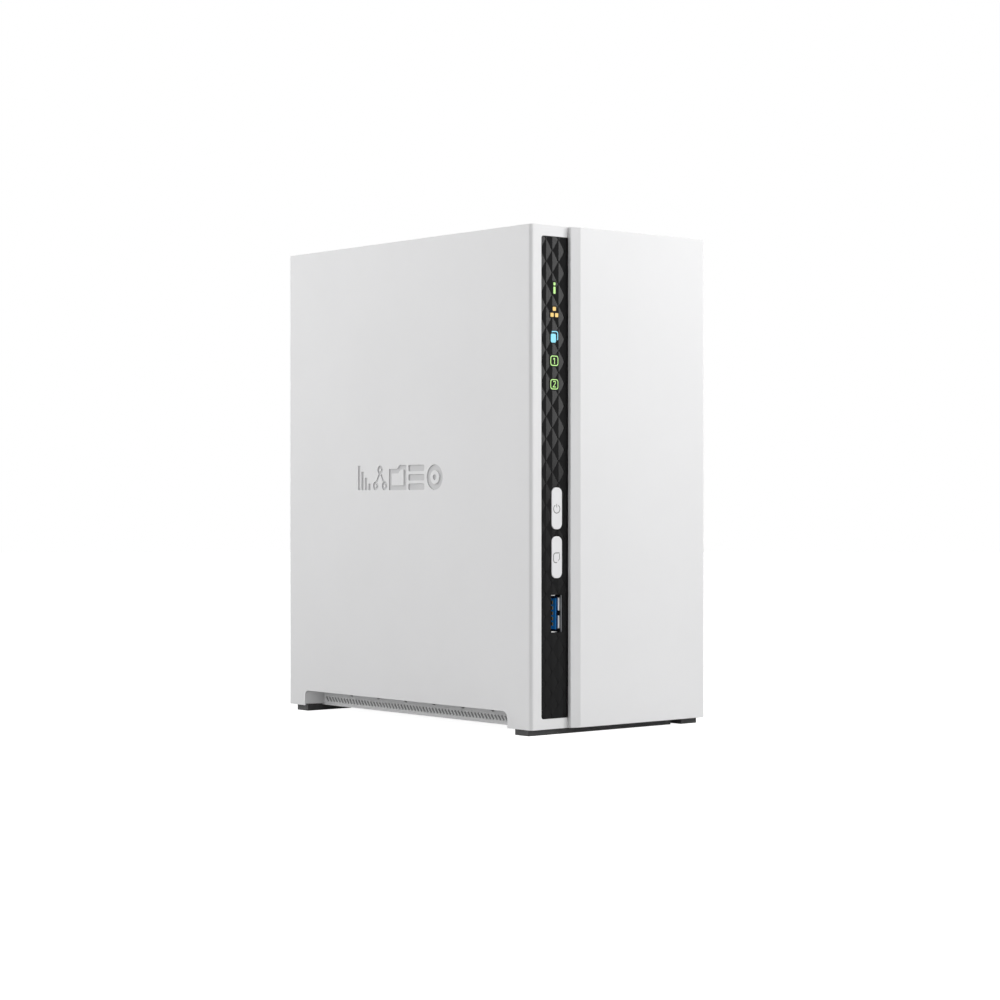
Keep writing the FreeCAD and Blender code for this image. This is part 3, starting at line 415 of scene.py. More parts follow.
def hoop(outer, inner, low, high, axis="y"):
    """The space between two outlines with equal numbers of points, made solid."""
    def cap(work, level):
        count = len(level[0])
        for index in range(count):
            follow = (index + 1) % count
            work.faces.new((level[0][index], level[0][follow], level[1][follow], level[1][index]))
    return walled([[ACROSS[axis](a, b, low) for a, b in loop] for loop in (outer, inner)],
                  [[ACROSS[axis](a, b, high) for a, b in loop] for loop in (outer, inner)], cap)


def block(x, y, z):
    """A box between (low, high) on each axis."""
    return slab([(x[0], y[0]), (x[1], y[0]), (x[1], y[1]), (x[0], y[1])], *z, "z")


def pill(low_a, high_a, low_b, high_b, radius, steps=6):
    """A rectangle with round corners."""
    points = []
    for a, b, start in ((high_a - radius, high_b - radius, 0), (low_a + radius, high_b - radius, 90),
                        (low_a + radius, low_b + radius, 180), (high_a - radius, low_b + radius, 270)):
        for step in range(steps + 1):
            turn = math.radians(start + 90 * step / steps)
            points.append((a + radius * math.cos(turn), b + radius * math.sin(turn)))
    return points


def arc(a, b, radius, start, stop, steps=24):
    return [(a + radius * math.cos(math.radians(start + (stop - start) * step / steps)),
             b + radius * math.sin(math.radians(start + (stop - start) * step / steps)))
            for step in range(steps + 1)]


def stroke(points, width):
    """The outline of a line of even width through the points."""
    sides = ([], [])
    for index, (a, b) in enumerate(points):
        before = points[max(index - 1, 0)]
        after = points[min(index + 1, len(points) - 1)]
        legs = []
        if index > 0:
            legs.append((Vector((a, b)) - Vector(before)).normalized())
        if index < len(points) - 1:
            legs.append((Vector(after) - Vector((a, b))).normalized())
        along = sum(legs, Vector((0, 0))).normalized()
        reach = width / 2 / max(0.4, abs(along.dot(legs[0])))
        sides[0].append((a - along.y * reach, b + along.x * reach))
        sides[1].append((a + along.y * reach, b - along.x * reach))
    return sides[0] + sides[1][::-1]


def bent(points, thick, low, high, axis="z"):
    """Sheet metal: a line drawn across the axis, given thickness and length."""
    return slab(stroke(points, thick), low, high, axis)


def together(name, works):
    """One mesh from several bmesh solids."""
    whole = bmesh.new()
    for work in works:
        part = bpy.data.meshes.new("part")
        work.to_mesh(part)
        work.free()
        whole.from_mesh(part)
        bpy.data.meshes.remove(part)
    mesh = bpy.data.meshes.new(name)
    whole.to_mesh(mesh)
    whole.free()
    return mesh


def bake(piece):
    """The piece with its modifiers made part of its mesh."""
    baked = bpy.data.meshes.new_from_object(
        piece.evaluated_get(bpy.context.evaluated_depsgraph_get()))
    old = piece.data
    piece.modifiers.clear()
    piece.data = baked
    bpy.data.meshes.remove(old)
    return piece


def carve(piece, works, operation="DIFFERENCE"):
    """Take the solids out of the piece, or keep only what is inside them."""
    tool = bpy.data.objects.new("tool", together("tool", works))
    bpy.context.scene.collection.objects.link(tool)
    step = piece.modifiers.new("carve", "BOOLEAN")
    step.operation = operation
    step.solver = "EXACT"
    step.use_self = True
    step.object = tool
    bake(piece)
    bpy.data.objects.remove(tool)
    return piece


def evened(piece):
    """Shading normals that keep large flat faces flat."""
    even = piece.modifiers.new("normals", "WEIGHTED_NORMAL")
    even.keep_sharp = True
    return piece


# ---------------------------------------------------------------- indicator strip

STRIP = (-39.95, -27.2, 6.1, 184.7)
STRIP_CORNER = 1.1
STRIP_FACE = -75.24
RIDGE = -75.44
FACET_EDGE = -75.27
FACET_BACK = -75.19
FACET_WIDE, FACET_TALL = 3.06, 4.1036
FIRST_COLUMN, FIRST_HEIGHT = -40.56, 175.38
HALO_FACE, GLYPH_FACE = -75.47, -75.51
BUTTONS = {"power_button": 83.95, "copy_button": 65.84}
KEY_X, KEY_WIDE, KEY_TALL, KEY_CORNER = -32.33, 5.1, 15.5, 2.1
FRONT_USB = (-34.98, -29.42, 37.95, 52.0)


def facet(x, z):
    """A long diamond whose two halves lean left and right from an upright ridge."""
    wide, tall = FACET_WIDE * 0.994, FACET_TALL * 0.994
    corners = ((x, RIDGE, z + tall), (x - wide, FACET_EDGE, z), (x, RIDGE, z - tall),
               (x + wide, FACET_EDGE, z))
    work = bmesh.new()
    front = [work.verts.new(Vector(spot) * MM) for spot in corners]
    back = [work.verts.new(Vector((spot[0], FACET_BACK, spot[2])) * MM) for spot in corners]
    top, left, bottom, right = front
    work.faces.new((top, left, bottom))
    work.faces.new((top, bottom, right))
    work.faces.new(back)
    for index in range(4):
        follow = (index + 1) % 4
        work.faces.new((front[index], front[follow], back[follow], back[index]))
    bmesh.ops.recalc_face_normals(work, faces=work.faces)
    return work


def strip_relief():
    """The diamond pattern over the whole strip, cut round the keys and the socket."""
    low_x, high_x, low_z, high_z = STRIP
    facets = []
    for column in range(6):
        x = FIRST_COLUMN + column * FACET_WIDE
        start = FIRST_HEIGHT + (FACET_TALL if column % 2 else 0)
        for row in range(-2, 23):
            z = start - row * 2 * FACET_TALL
            if low_z - FACET_TALL < z < high_z + FACET_TALL:
                facets.append(facet(x, z))
    relief = placed("strip_relief", together("strip_relief", facets), "indicator_strip")
    window = pill(low_x + 0.05, high_x + 2, low_z + 0.05, high_z - 0.05, STRIP_CORNER)
    window = [(min(a, high_x), b) for a, b in window]
    trimmed = []
    for spot in window:
        if not trimmed or (Vector(spot) - Vector(trimmed[-1])).length > 0.001:
            trimmed.append(spot)
    carve(relief, [slab(trimmed, -76, -75)], "INTERSECT")
    holes = []
    for z in BUTTONS.values():
        holes.append(slab(pill(KEY_X - KEY_WIDE / 2 - 0.35, KEY_X + KEY_WIDE / 2 + 0.35,
                               z - KEY_TALL / 2 - 0.35, z + KEY_TALL / 2 + 0.35,
                               KEY_CORNER + 0.35), -76, -75))
    low_x, high_x, low_z, high_z = FRONT_USB
    holes.append(slab(pill(low_x, high_x, low_z, high_z, 0.3), -76, -75))
    carve(relief, holes)


def glyph(node, shapes, halos):
    """A lit symbol in place of the plain light, on a thin black ground."""
    piece = placed(node + "_symbol", together(node, shapes), node)
    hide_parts(node)
    soften(piece, 0.00004, 2)
    ground = placed(node + "_ground", together(node + "_ground", halos), "indicator_strip")
    soften(ground, 0.00003, 2)


def lit(points):
    return slab(points, GLYPH_FACE, FACET_BACK)


def ground(points):
    return slab(points, HALO_FACE, FACET_BACK)


def numbered(node, z, digit):
    """A digit in a rounded frame."""
    outer = pill(-35.46, -31.58, z - 1.9, z + 1.9, 1.0)
    inner = pill(-35.12, -31.88, z - 1.57, z + 1.57, 0.7)
    glyph(node, [hoop(outer, inner, GLYPH_FACE, FACET_BACK), lit(stroke(digit, 0.3))],
          [ground(pill(-35.92, -31.12, z - 2.28, z + 2.28, 1.25))])


def indicators():
    middle = -33.45
    z = 165.57
    glyph("status_light",
          [lit(pill(middle - 0.5, middle + 0.5, z + 1.0, z + 2.1, 0.25)),
           lit(pill(middle - 0.5, middle + 0.5, z - 2.1, z + 0.5, 0.25))],
          [ground(pill(middle - 0.95, middle + 0.95, z - 2.6, z + 2.7, 0.5))])
    squares = ((-33.5, 157.88), (-34.62, 155.6), (-32.36, 155.6))
    glyph("network_light",
          [lit(pill(x - 0.78, x + 0.78, z - 0.74, z + 0.74, 0.28)) for x, z in squares],
          [ground(pill(x - 1.15, x + 1.15, z - 1.12, z + 1.12, 0.5)) for x, z in squares])
    behind = [(-34.75, 149.12), (-34.45, 149.46), (-32.6, 149.48), (-32.1, 149.32),
              (-31.84, 148.82), (-31.84, 146.72), (-32.1, 146.42)]
    glyph("copy_light",
          [lit(pill(-35.24, -32.72, 145.36, 148.66, 0.62)), lit(stroke(behind, 0.4))],
          [ground(pill(-35.62, -32.4, 145.04, 149.02, 0.85)), ground(stroke(behind, 0.95))])
    numbered("drive_1_light", 138.65, [(-34.1, 139.17), (-33.55, 139.57), (-33.42, 139.47),
                                       (-33.42, 137.47)])
    two = arc(-33.47, 130.54, 0.55, 160, -25, 8) + [(-34.1, 128.92), (-32.75, 128.92)]
    numbered("drive_2_light", 129.92, two)


# ---------------------------------------------------------------- keys and marks on the casing

KEY_FACE = -75.6
KEY_MARK = 0.34
KEY_FLANGE = (-72.2, -71.3)
SIDE_FACE = -45.09
SIDE_DEPTH = 0.5


def key_marks():
    """What is engraved on each key: a power sign, and a page with a folded corner."""
    x, z = -32.41, BUTTONS["power_button"] - 0.2
    power = [("line", arc(x, z, 1.55, 62, -242)), ("line", [(x, z + 1.9), (x, z + 0.5)])]
    x, z = -32.5, BUTTONS["copy_button"] - 0.2
    wide, tall = 1.5, 1.8
    left = arc(x - wide + 1.1, z + tall - 1.1, 1.1, 90, 180, 6)
    low = arc(x - wide + 1.1, z - tall + 1.1, 1.1, 180, 270, 6)
    page = [(x + wide, z + tall)] + left + low + [(x + 0.25, z - tall)]
    side = [(x + wide, z + tall - 0.3), (x + wide, z - 0.55)]
    fold = [(x + wide, z - 0.6), (x + 0.95, z - 0.85), (x + 0.7, z - 1.2)]
    return {"power_button": power, "copy_button": [("line", page), ("line", side), ("faint", fold)]}


def keys():
    """White keys, nearly flush with the strip, with an engraved sign on each; the floors of the grooves
    are dark grey, painted shade.
    """
    for node, marks in key_marks().items():
        z = BUTTONS[node]
        face = pill(KEY_X - KEY_WIDE / 2, KEY_X + KEY_WIDE / 2, z - KEY_TALL / 2, z + KEY_TALL / 2,
                    KEY_CORNER, 10)
        flange = pill(KEY_X - 3.5, KEY_X + 3.5, z - 8.8, z + 8.8, 0.5)
        solids = [slab(face, KEY_FACE, KEY_FLANGE[0] + 0.4), slab(flange, *KEY_FLANGE)]
        key = placed(node + "_key", together(node + "_key", solids), node)
        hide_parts(node)
        soften(key, 0.00014, 3)
        bake(key)
        widths = {"line": KEY_MARK, "faint": KEY_MARK * 0.6}
        carve(key, [slab(stroke(line, widths[kind]), KEY_FACE - 1, KEY_FACE + 0.1)
                    for kind, line in marks])
        evened(key)
        # dark grey pieces in the groove floors: painted shade
        floor = [slab(stroke(line, widths[kind]), KEY_FACE + 0.07, KEY_FACE + 0.3)
                 for kind, line in marks]
        placed(node + "_mark", together(node + "_mark", floor), node, look="key_groove_shade")


def side_marks(start, stop):
    """Bold pictures for the left side: disc, drives, folder, linked points, rising bars."""
    z = 95.9
    half = 4.9
    marks = []

    def solid(points):
        marks.append(slab(points, start, stop, "x"))

    def ring(y, height, outer, inner):
        marks.append(hoop(arc(y, height, outer, 0, 352.5, 47), arc(y, height, inner, 0, 352.5, 47),
                          start, stop, "x"))

    ring(-19, z, half, 2.7)
    solid(arc(-19, z, 1.1, 0, 345, 23))
    for row in range(3):
        low = z - half + row * 3.65
        solid(pill(-12.6, -2.6, low, low + 2.5, 0.6))
    folder = [(-1.3, z - half), (9.9, z - half), (9.9, z + 3.4), (4.6, z + 3.4), (3.1, z + half),
              (-1.3, z + half)]
    inner = [(0.5, z - half + 1.8), (8.1, z - half + 1.8), (8.1, z + 1.6), (3.9, z + 1.6),
             (2.4, z + half - 1.8), (0.5, z + half - 1.8)]
    marks.append(hoop(folder, inner, start, stop, "x"))
    for y, height in ((15.6, z + 3.1), (12.7, z - 3.2), (18.5, z - 3.2)):
        ring(y, height, 1.75, 0.6)
    for side in (-1, 1):
        solid(stroke([(15.6 + 0.65 * side, z + 1.3), (15.6 + 2.1 * side, z - 1.4)], 0.9))
    for index in range(4):
        y = 21.7 + 2.3 * index
        solid(pill(y, y + 1.6, z - half, z - half + 2.6 + 2.4 * index, 0.3))
    return marks


def left_casing():
    """The casing with its side pictures sunk into it; their floors are a darker grey, painted shade."""
    bottom = SIDE_FACE + SIDE_DEPTH
    evened(carve(bake(skin("main_casing", EDGE)), side_marks(SIDE_FACE - 1, bottom)))
    # a darker grey floor inside each sunk picture: painted shade
    placed("side_mark_shade_floor", together("side_mark_shade_floor", side_marks(bottom - 0.06, bottom + 0.06)),
           "main_casing", look="painted_mark_shade")


REAR_FOOT, DRAWN_REAR_FOOT, FOOT_STRETCH = 67.2, 65.4, 1.21
RECESS_REAR = 66.6
RECESS_BULGE = 2.65
RECESS_STEPS = 14


def feet():
    """Rubber bars and blocks; the rear ones reach a little further forward."""
    for node in ("casing_feet", "cover_feet"):
        piece = skin(node, EDGE)
        for vertex in piece.data.vertices:
            if vertex.co.y > 0:
                behind = vertex.co.y / MM - REAR_FOOT
                vertex.co.y = (DRAWN_REAR_FOOT + behind * FOOT_STRETCH) * MM


def recess_ends():
    """The rear wall of each low recess curves round into the recess."""
    outer, inner = 45.0, 37.1
    for node, side in (("main_casing", -1), ("side_cover", 1)):
        curve = []
        for step in range(RECESS_STEPS + 1):
            part = step / RECESS_STEPS
            curve.append((side * (outer - (outer - inner) * part),
                          RECESS_REAR - RECESS_BULGE * (2 - part) * part))
        curve += [(side * inner, RECESS_REAR + 0.3), (side * outer, RECESS_REAR + 0.3)]
        name = node + "_recess_end"
        piece = placed(name, together(name, [slab(curve, 2.92, 8.5, "z")]), node)
        evened(smooth(piece, 30))


def vent_slot_shades():
    """A grey sheet just behind the slots of the low vents on both sides: painted shade in the slots."""
    for node, side in (("main_casing", -1), ("side_cover", 1)):
        reach = sorted((side * 36.85, side * 36.2))
        # a grey sheet inside the wall, seen only through the slots: painted shade
        slot_shade_sheet = [slab(pill(-57, 62, 3.8, 6.9, 0.5), *reach, "x")]
        soften(placed(node + "_screen", together(node + "_screen", slot_shade_sheet), node, look="vent_screen"),
               0.0001, 2)


# ---------------------------------------------------------------- front socket

SOCKET_MIDDLE, SOCKET_HALF = 44.97, 7.0
TONGUE = (-31.95, -31.0)
PAD_STEP, PAD_HALF = 2.0, 0.64


def upright(x, y, low, high):
    """A box in the socket: (low, high) across, (low, high) behind the strip's face, and heights."""
    near, far = STRIP_FACE + y[0], STRIP_FACE + y[1]
    return block(x, (near, far), (low, high))


def socket_piece(name, solids, node, look=None, width=0.03):
    piece = placed("usb_front_" + name, together(name, solids), node, look=look)
    return soften(piece, width * MM, 2)


def front_socket():
    """The upright socket: can behind the strip, bright lips, springs, tongue and pads; its inner wall,
    the holes by the springs, the tongue's front end and the pockets behind the pads are painted dark as
    shade.
    """
    middle, half = SOCKET_MIDDLE, SOCKET_HALF
    left, right, wall = -35.2, -29.55, 0.3
    outer = pill(left, right, middle - half, middle + half, 0.5)
    inner = pill(left + wall, right - wall, middle - half + wall, middle + half - wall, 0.3)
    can = [hoop(outer, inner, STRIP_FACE + 1.3, STRIP_FACE + 14),
           slab(inner, STRIP_FACE + 13.6, STRIP_FACE + 14)]
    shell = socket_piece("can", can, "usb_front_shell")
    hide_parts("usb_front_shell")
    lips = []
    for side in (-1, 1):
        edge = middle + side * half
        lip = [(STRIP_FACE + 0.12, edge - side * 0.08), (STRIP_FACE + 0.16, edge - side * 0.34),
               (STRIP_FACE + 0.9, edge - side * 0.28), (STRIP_FACE + 1.5, edge - side * 0.3)]
        lips.append(slab(stroke(lip, 0.14), -35.0, -33.0, "x"))
    socket_piece("lips", lips, "usb_front_shell", "lip_tin")
    # the socket's inner wall in dark tin: painted shade
    flare = [upright((-29.92, -29.46), (0.12, 1.4), middle - half + 0.05, middle + half - 0.1)]
    socket_piece("flare", flare, "usb_front_shell", "wall_tin_painted_shade", 0.08)
    fingers = [upright((-30.78, -30.08), (0.75, 1.6), low, high)
               for low, high in ((39.3, 44.25), (45.95, 50.85))]
    socket_piece("fingers", fingers, "usb_front_shell", "finger_tin", 0.1)
    # black boxes in the holes beside the springs: painted shade
    dark = [upright((-31.15, -29.98), (0.62, 2.2), low, high)
            for low, high in ((38.2, 39.38), (44.18, 46.01), (50.89, 51.95))]
    dark.append(upright((-30.9, -29.58), (1.5, 2.5), 38.2, 51.9))
    socket_piece("window_shade", dark, "usb_front_shell", "painted_shade_black")
    # a dark blue box round the tongue's front end: painted shade
    base = [upright((TONGUE[0] + 0.03, -30.94), (0.74, 14), 38.65, 51.35)]
    socket_piece("tongue_end_shade", base, "usb_front_tongue", "usb_shade", 0.3)
    tongue = socket_piece("tongue_bar", [upright(TONGUE, (0.8, 14), 39.1, 50.6)], "usb_front_tongue",
                          None, 0.05)
    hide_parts("usb_front_tongue")
    pads, pocket_shade = [], []
    for index in range(5):
        z = middle + PAD_STEP * (2 - index)
        pads.append(upright((TONGUE[0] - 0.08, TONGUE[0] + 0.1), (2.26, 2.77), z - PAD_HALF,
                            z + PAD_HALF))
        # black boxes behind the pads: painted shade
        pocket_shade.append(upright((TONGUE[0] - 0.03, TONGUE[0] + 0.1), (2.83, 4.5), z - PAD_HALF,
                               z + PAD_HALF))
    gold = socket_piece("pads", pads, "usb_front_contacts", "pad_gold")
    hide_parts("usb_front_contacts")
    socket_piece("pocket_shade", pocket_shade, "usb_front_tongue", "painted_shade_black", 0.02)


# ---------------------------------------------------------------- turned parts and screws

def turned(profile, axis, a, b, steps=32):
    """A solid of revolution: (radius, level) pairs along an axis through (a, b)."""
    work = bmesh.new()
    rings = []
    for radius, level in profile:
        ring = []
        count = steps if radius > 0 else 1
        for step in range(count):
            turn = 2 * math.pi * step / steps
            spot = ACROSS[axis](a + radius * math.cos(turn), b + radius * math.sin(turn), level)
            ring.append(work.verts.new(Vector(spot) * MM))
        rings.append(ring)
    for under, over in zip(rings, rings[1:]):
        for step in range(steps):
            follow = (step + 1) % steps
            corners = [under[step % len(under)], under[follow % len(under)],
                       over[follow % len(over)], over[step % len(over)]]
            kept = [vert for index, vert in enumerate(corners) if vert not in corners[:index]]
            if len(kept) > 2:
                work.faces.new(kept)
    for ring in (rings[0], rings[-1]):
        if len(ring) > 2:
            work.faces.new(ring)
    bmesh.ops.recalc_face_normals(work, faces=work.faces)
    return work


def islands(node):
    """Each separate solid of a node, as its corner points in millimetres."""
    work = bmesh.new()
    work.from_mesh(NODES[node].data)
    bmesh.ops.remove_doubles(work, verts=work.verts, dist=0.000001)
    left = set(work.verts)
    found = []
    while left:
        start = left.pop()
        group = [start]
        waiting = [start]
        while waiting:
            for edge in waiting.pop().link_edges:
                for vert in edge.verts:
                    if vert in left:
                        left.remove(vert)
                        group.append(vert)
                        waiting.append(vert)
        found.append([NODES[node].matrix_world @ vert.co / MM for vert in group])
    work.free()
    return sorted(found, key=lambda spots: tuple(round(min(s[i] for s in spots), 2) for i in range(3)))


THREAD_PITCH = 0.7
HEAD_DOME = ((0.95, 0.5), (0.75, 0.85), (0.4, 0.98), (0, 1))


def oblong(a, b, half_a, half_b):
    """The outline of a rectangle round a middle."""
    return [(a - half_a, b - half_b), (a + half_a, b - half_b), (a + half_a, b + half_b),
            (a - half_a, b + half_b)]


def span(spots, index):
    """The least and greatest of the points along one axis."""
    return min(spot[index] for spot in spots), max(spot[index] for spot in spots)


def screws(node, axis_of):
    """Pan-head screws with crossed slots and threads, one for each plain one in the node."""
    solids, slots = [], []
    for spots in islands(node):
        axis = axis_of(spots)
        along = "xyz".index(axis)
        across = [index for index in range(3) if index != along]
        middle = [sum(span(spots, index)) / 2 for index in across]
        radius = (span(spots, across[0])[1] - span(spots, across[0])[0]) / 2
        low, high = span(spots, along)
        away = [math.hypot(spot[across[0]] - middle[0], spot[across[1]] - middle[1]) for spot in spots]
        wide = [spot[along] for spot, far in zip(spots, away) if far > radius * 0.9]
        thick = max(wide) - min(wide)
        out = 1 if min(wide) - low > high - max(wide) else -1
        base = min(wide) if out > 0 else max(wide)
        tip = low if out > 0 else high
        stem = min(far for spot, far in zip(spots, away) if abs(spot[along] - tip) < 0.01)
        profile = [(0, tip), (stem * 0.7, tip)]
        turns = int(abs(base - tip) / THREAD_PITCH)
        for index in range(turns):
            level = tip + out * (index + 0.5) * THREAD_PITCH
            profile += [(stem, level), (stem * 0.8, level + out * THREAD_PITCH / 2)]
        profile += [(stem * 0.8, base - out * 0.05), (radius * 0.97, base),
                    (radius, base + out * 0.1)]
        profile += [(radius * share, base + out * thick * rise) for share, rise in HEAD_DOME]
        solids.append(turned(profile, axis, *middle, 24))
        top = base + out * thick
        ends = sorted((top + out * 0.5, top - out * min(0.9, thick * 0.6)))
        for length, width in ((radius * 0.55, radius * 0.12), (radius * 0.12, radius * 0.55)):
            slots.append(slab(oblong(*middle, length, width), *ends, axis))
    piece = placed(node + "_threaded", together(node + "_threaded", solids), node)
    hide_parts(node)
    carve(piece, slots)
    smooth(piece, 35)


def thumb_knob(node):
    """A knurled thumbscrew with a coin slot."""
    spots = islands(node)[0]
    x, z = (sum(span(spots, index)) / 2 for index in (0, 2))
    low, high = span(spots, 1)
    profile = [(0, low), (1.1, low), (1.5, low + 0.4)]
    for index in range(9):
        profile += [(1.5, low + 0.6 + index * 0.75), (1.2, low + 0.95 + index * 0.75)]
    base = 74.6
    profile += [(1.5, base), (3.2, base), (3.3, base + 0.4), (3.3, high - 0.5), (2.9, high - 0.1),
                (2.1, high), (2.0, high - 0.25), (0, high - 0.25)]
    solids = [turned(profile, "y", x, z, 32)]
    for index in range(24):
        turn = math.radians(15 * index)
        ridge = [(x + 3.1 * math.cos(turn + d), z + 3.1 * math.sin(turn + d)) for d in (-0.08, 0.08)]
        ridge.append((x + 3.58 * math.cos(turn), z + 3.58 * math.sin(turn)))
        solids.append(slab(ridge, base + 0.5, high - 0.6))
    piece = placed(node + "_knurled", together(node + "_knurled", solids), node)
    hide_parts(node)
    carve(piece, [slab(oblong(x, z, 2.6, 0.45), high - 1.1, high + 1)])
    smooth(piece, 30)


# ---------------------------------------------------------------- electronics

BOARD_FACE = -35.5


def chip_legs(node, pitch, sides=(0, 1)):
    """Tinned legs along the edges of each chip of a node."""
    legs = []
    for spots in islands(node):
        y, z = span(spots, 1), span(spots, 2)
        for side in sides:
            low, high = (y, z)[side]
            count = int((high - low - 0.8) / pitch)
            start = (low + high) / 2 - (count - 1) * pitch / 2
            for index in range(count):
                at = start + index * pitch
                reach = (z, y)[side]
                for edge, out in ((reach[0], -1), (reach[1], 1)):
                    foot = sorted((edge, edge + out * 0.7))
                    across = (at - pitch * 0.22, at + pitch * 0.22)
                    flat = (across, foot) if side == 0 else (foot, across)
                    legs.append(block((BOARD_FACE - 0.02, BOARD_FACE + 0.25), *flat))
    soften(placed(node + "_legs", together(node + "_legs", legs), node, "bright_steel", "pin_tin"),
           0.00004, 2)


def small_parts():
    """Resistors and capacitors in short rows on the free parts of the mainboard."""
    taken = []
    for node in ("board_chips", "memory_chips", "processor", "heatsink", "capacitors", "coin_cell",
                 "buzzer", "fan_header", "lan_jack", "usb_rear_shells", "power_inlet", "reset_switch",
                 "button_switches", "indicator_leds", "inner_screws", "backplane_socket"):
        for spots in islands(node):
            if span(spots, 0)[0] < BOARD_FACE + 1:
                taken.append((span(spots, 1), span(spots, 2)))
    front_socket_place = ((-75, -58), (36, 54))
    taken.append(front_socket_place)
    chance = random.Random(7)
    bodies, ends = [], []
    for _ in range(70):
        y, z = chance.uniform(-64, 58), chance.uniform(16, 168)
        count = chance.randint(2, 6)
        standing = chance.random() < 0.5
        long, wide = (1.6, 0.8) if chance.random() < 0.6 else (1.0, 0.5)
        size = (long, count * wide * 1.9) if standing else (count * wide * 1.9, long)
        reach = ((y - 1, y + size[0] + 1), (z - 1, z + size[1] + 1))
        if any(reach[0][0] < b[0][1] and reach[0][1] > b[0][0]
               and reach[1][0] < b[1][1] and reach[1][1] > b[1][0] for b in taken):
            continue
        taken.append(reach)
        for index in range(count):
            step = index * wide * 1.9
            spot = (y, z + step) if standing else (y + step, z)
            body = (long, wide) if standing else (wide, long)
            tall = BOARD_FACE + wide * 0.6
            cap = 0.22 * long
            low, high = spot, (spot[0] + body[0], spot[1] + body[1])
            tin = (BOARD_FACE, tall + 0.02)
            if standing:
                inside = ((low[0] + cap, high[0] - cap), (low[1], high[1]))
                for a in (low[0], high[0] - cap):
                    ends.append(block(tin, (a, a + cap), (low[1], high[1])))
            else:
                inside = ((low[0], high[0]), (low[1] + cap, high[1] - cap))
                for b in (low[1], high[1] - cap):
                    ends.append(block(tin, (low[0], high[0]), (b, b + cap)))
            bodies.append(block((BOARD_FACE, tall), *inside))
    plain = placed("small_part_bodies", together("small_part_bodies", bodies), "board_chips")
    soften(plain, 0.00005, 2)
    tinned = placed("small_part_ends", together("small_part_ends", ends), "board_chips",
                    "bright_steel", "pin_tin")
    soften(tinned, 0.00005, 2)


def cans():
    """Capacitors: a sleeved can with a grooved neck and a bright scored top."""
    sleeves, tops, scores = [], [], []
    for spots in islands("capacitors"):
        y, z = (sum(span(spots, index)) / 2 for index in (1, 2))
        low, high = span(spots, 0)
        sleeve = [(0, low), (2.9, low), (3.1, low + 0.3), (3.1, low + 1.2), (2.75, low + 1.5),
                  (3.1, low + 1.8), (3.15, high - 0.4), (2.9, high - 0.1), (2.6, high - 0.1),
                  (2.6, high - 0.3), (0, high - 0.3)]
        sleeves.append(turned(sleeve, "x", y, z))
        lid = [(0, high - 0.35), (2.6, high - 0.35), (2.55, high - 0.05), (0, high)]
        tops.append(turned(lid, "x", y, z))
        scores += [block((high - 0.18, high + 0.2), (y - 1.7, y + 1.7), (z - 0.12, z + 0.12)),
                   block((high - 0.18, high + 0.2), (y - 0.12, y + 0.12), (z - 1.7, z + 1.7))]
    piece = placed("capacitor_sleeves", together("capacitor_sleeves", sleeves), "capacitors")
    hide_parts("capacitors")
    smooth(piece, 35)
    top = placed("capacitor_tops", together("capacitor_tops", tops), "capacitors", "bright_steel")
    carve(top, scores)


def coin():
    """The clock battery in its round holder, with a spring clip across it."""
    y, z = -38, 88
    profile = [(0, -35.3), (9.2, -35.3), (9.3, -34.6), (9.95, -34.3), (9.98, -32.1), (9.6, -31.7),
               (9.2, -31.6), (9.1, -31.68), (0, -31.68)]
    can = together("coin_cell_can", [turned(profile, "x", y, z, 64)])
    cell = placed("coin_cell_can", can, "coin_cell")
    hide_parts("coin_cell")
    smooth(cell, 30)
    holder = [hoop(arc(y, z, 11.4, 0, 354, 59), arc(y, z, 10.15, 0, 354, 59), -35.5, -32.9, "x")]
    soften(placed("coin_cell_holder", together("coin_cell_holder", holder), "coin_cell", "part_black"),
           0.0002, 2)
    clip = [bent([(-35.4, y - 11.7), (-31.9, y - 11.7), (-31.45, y - 9), (-31.45, y - 4)], 0.25,
                 z - 2, z + 2)]
    soften(placed("coin_cell_clip", together("coin_cell_clip", clip), "coin_cell"), 0.00005, 2)


# ---------------------------------------------------------------- drives

DRIVE_HUB = (-17.2, 119.9)
DRIVE_PIVOT = (10.8, 73.9)
PRINT_LINES = ((40, 4), (58, 1.2), (50, 1.2), (62, 1.2), (46, 1.2), (30, 1.2))


def lobed(a, b):
    """The outline of a six-lobed driver socket."""
    spots = []
    for k in range(12):
        radius = 1.15 if k % 2 else 0.75
        spots.append((a + radius * math.cos(math.pi * k / 6), b + radius * math.sin(math.pi * k / 6)))
    return spots


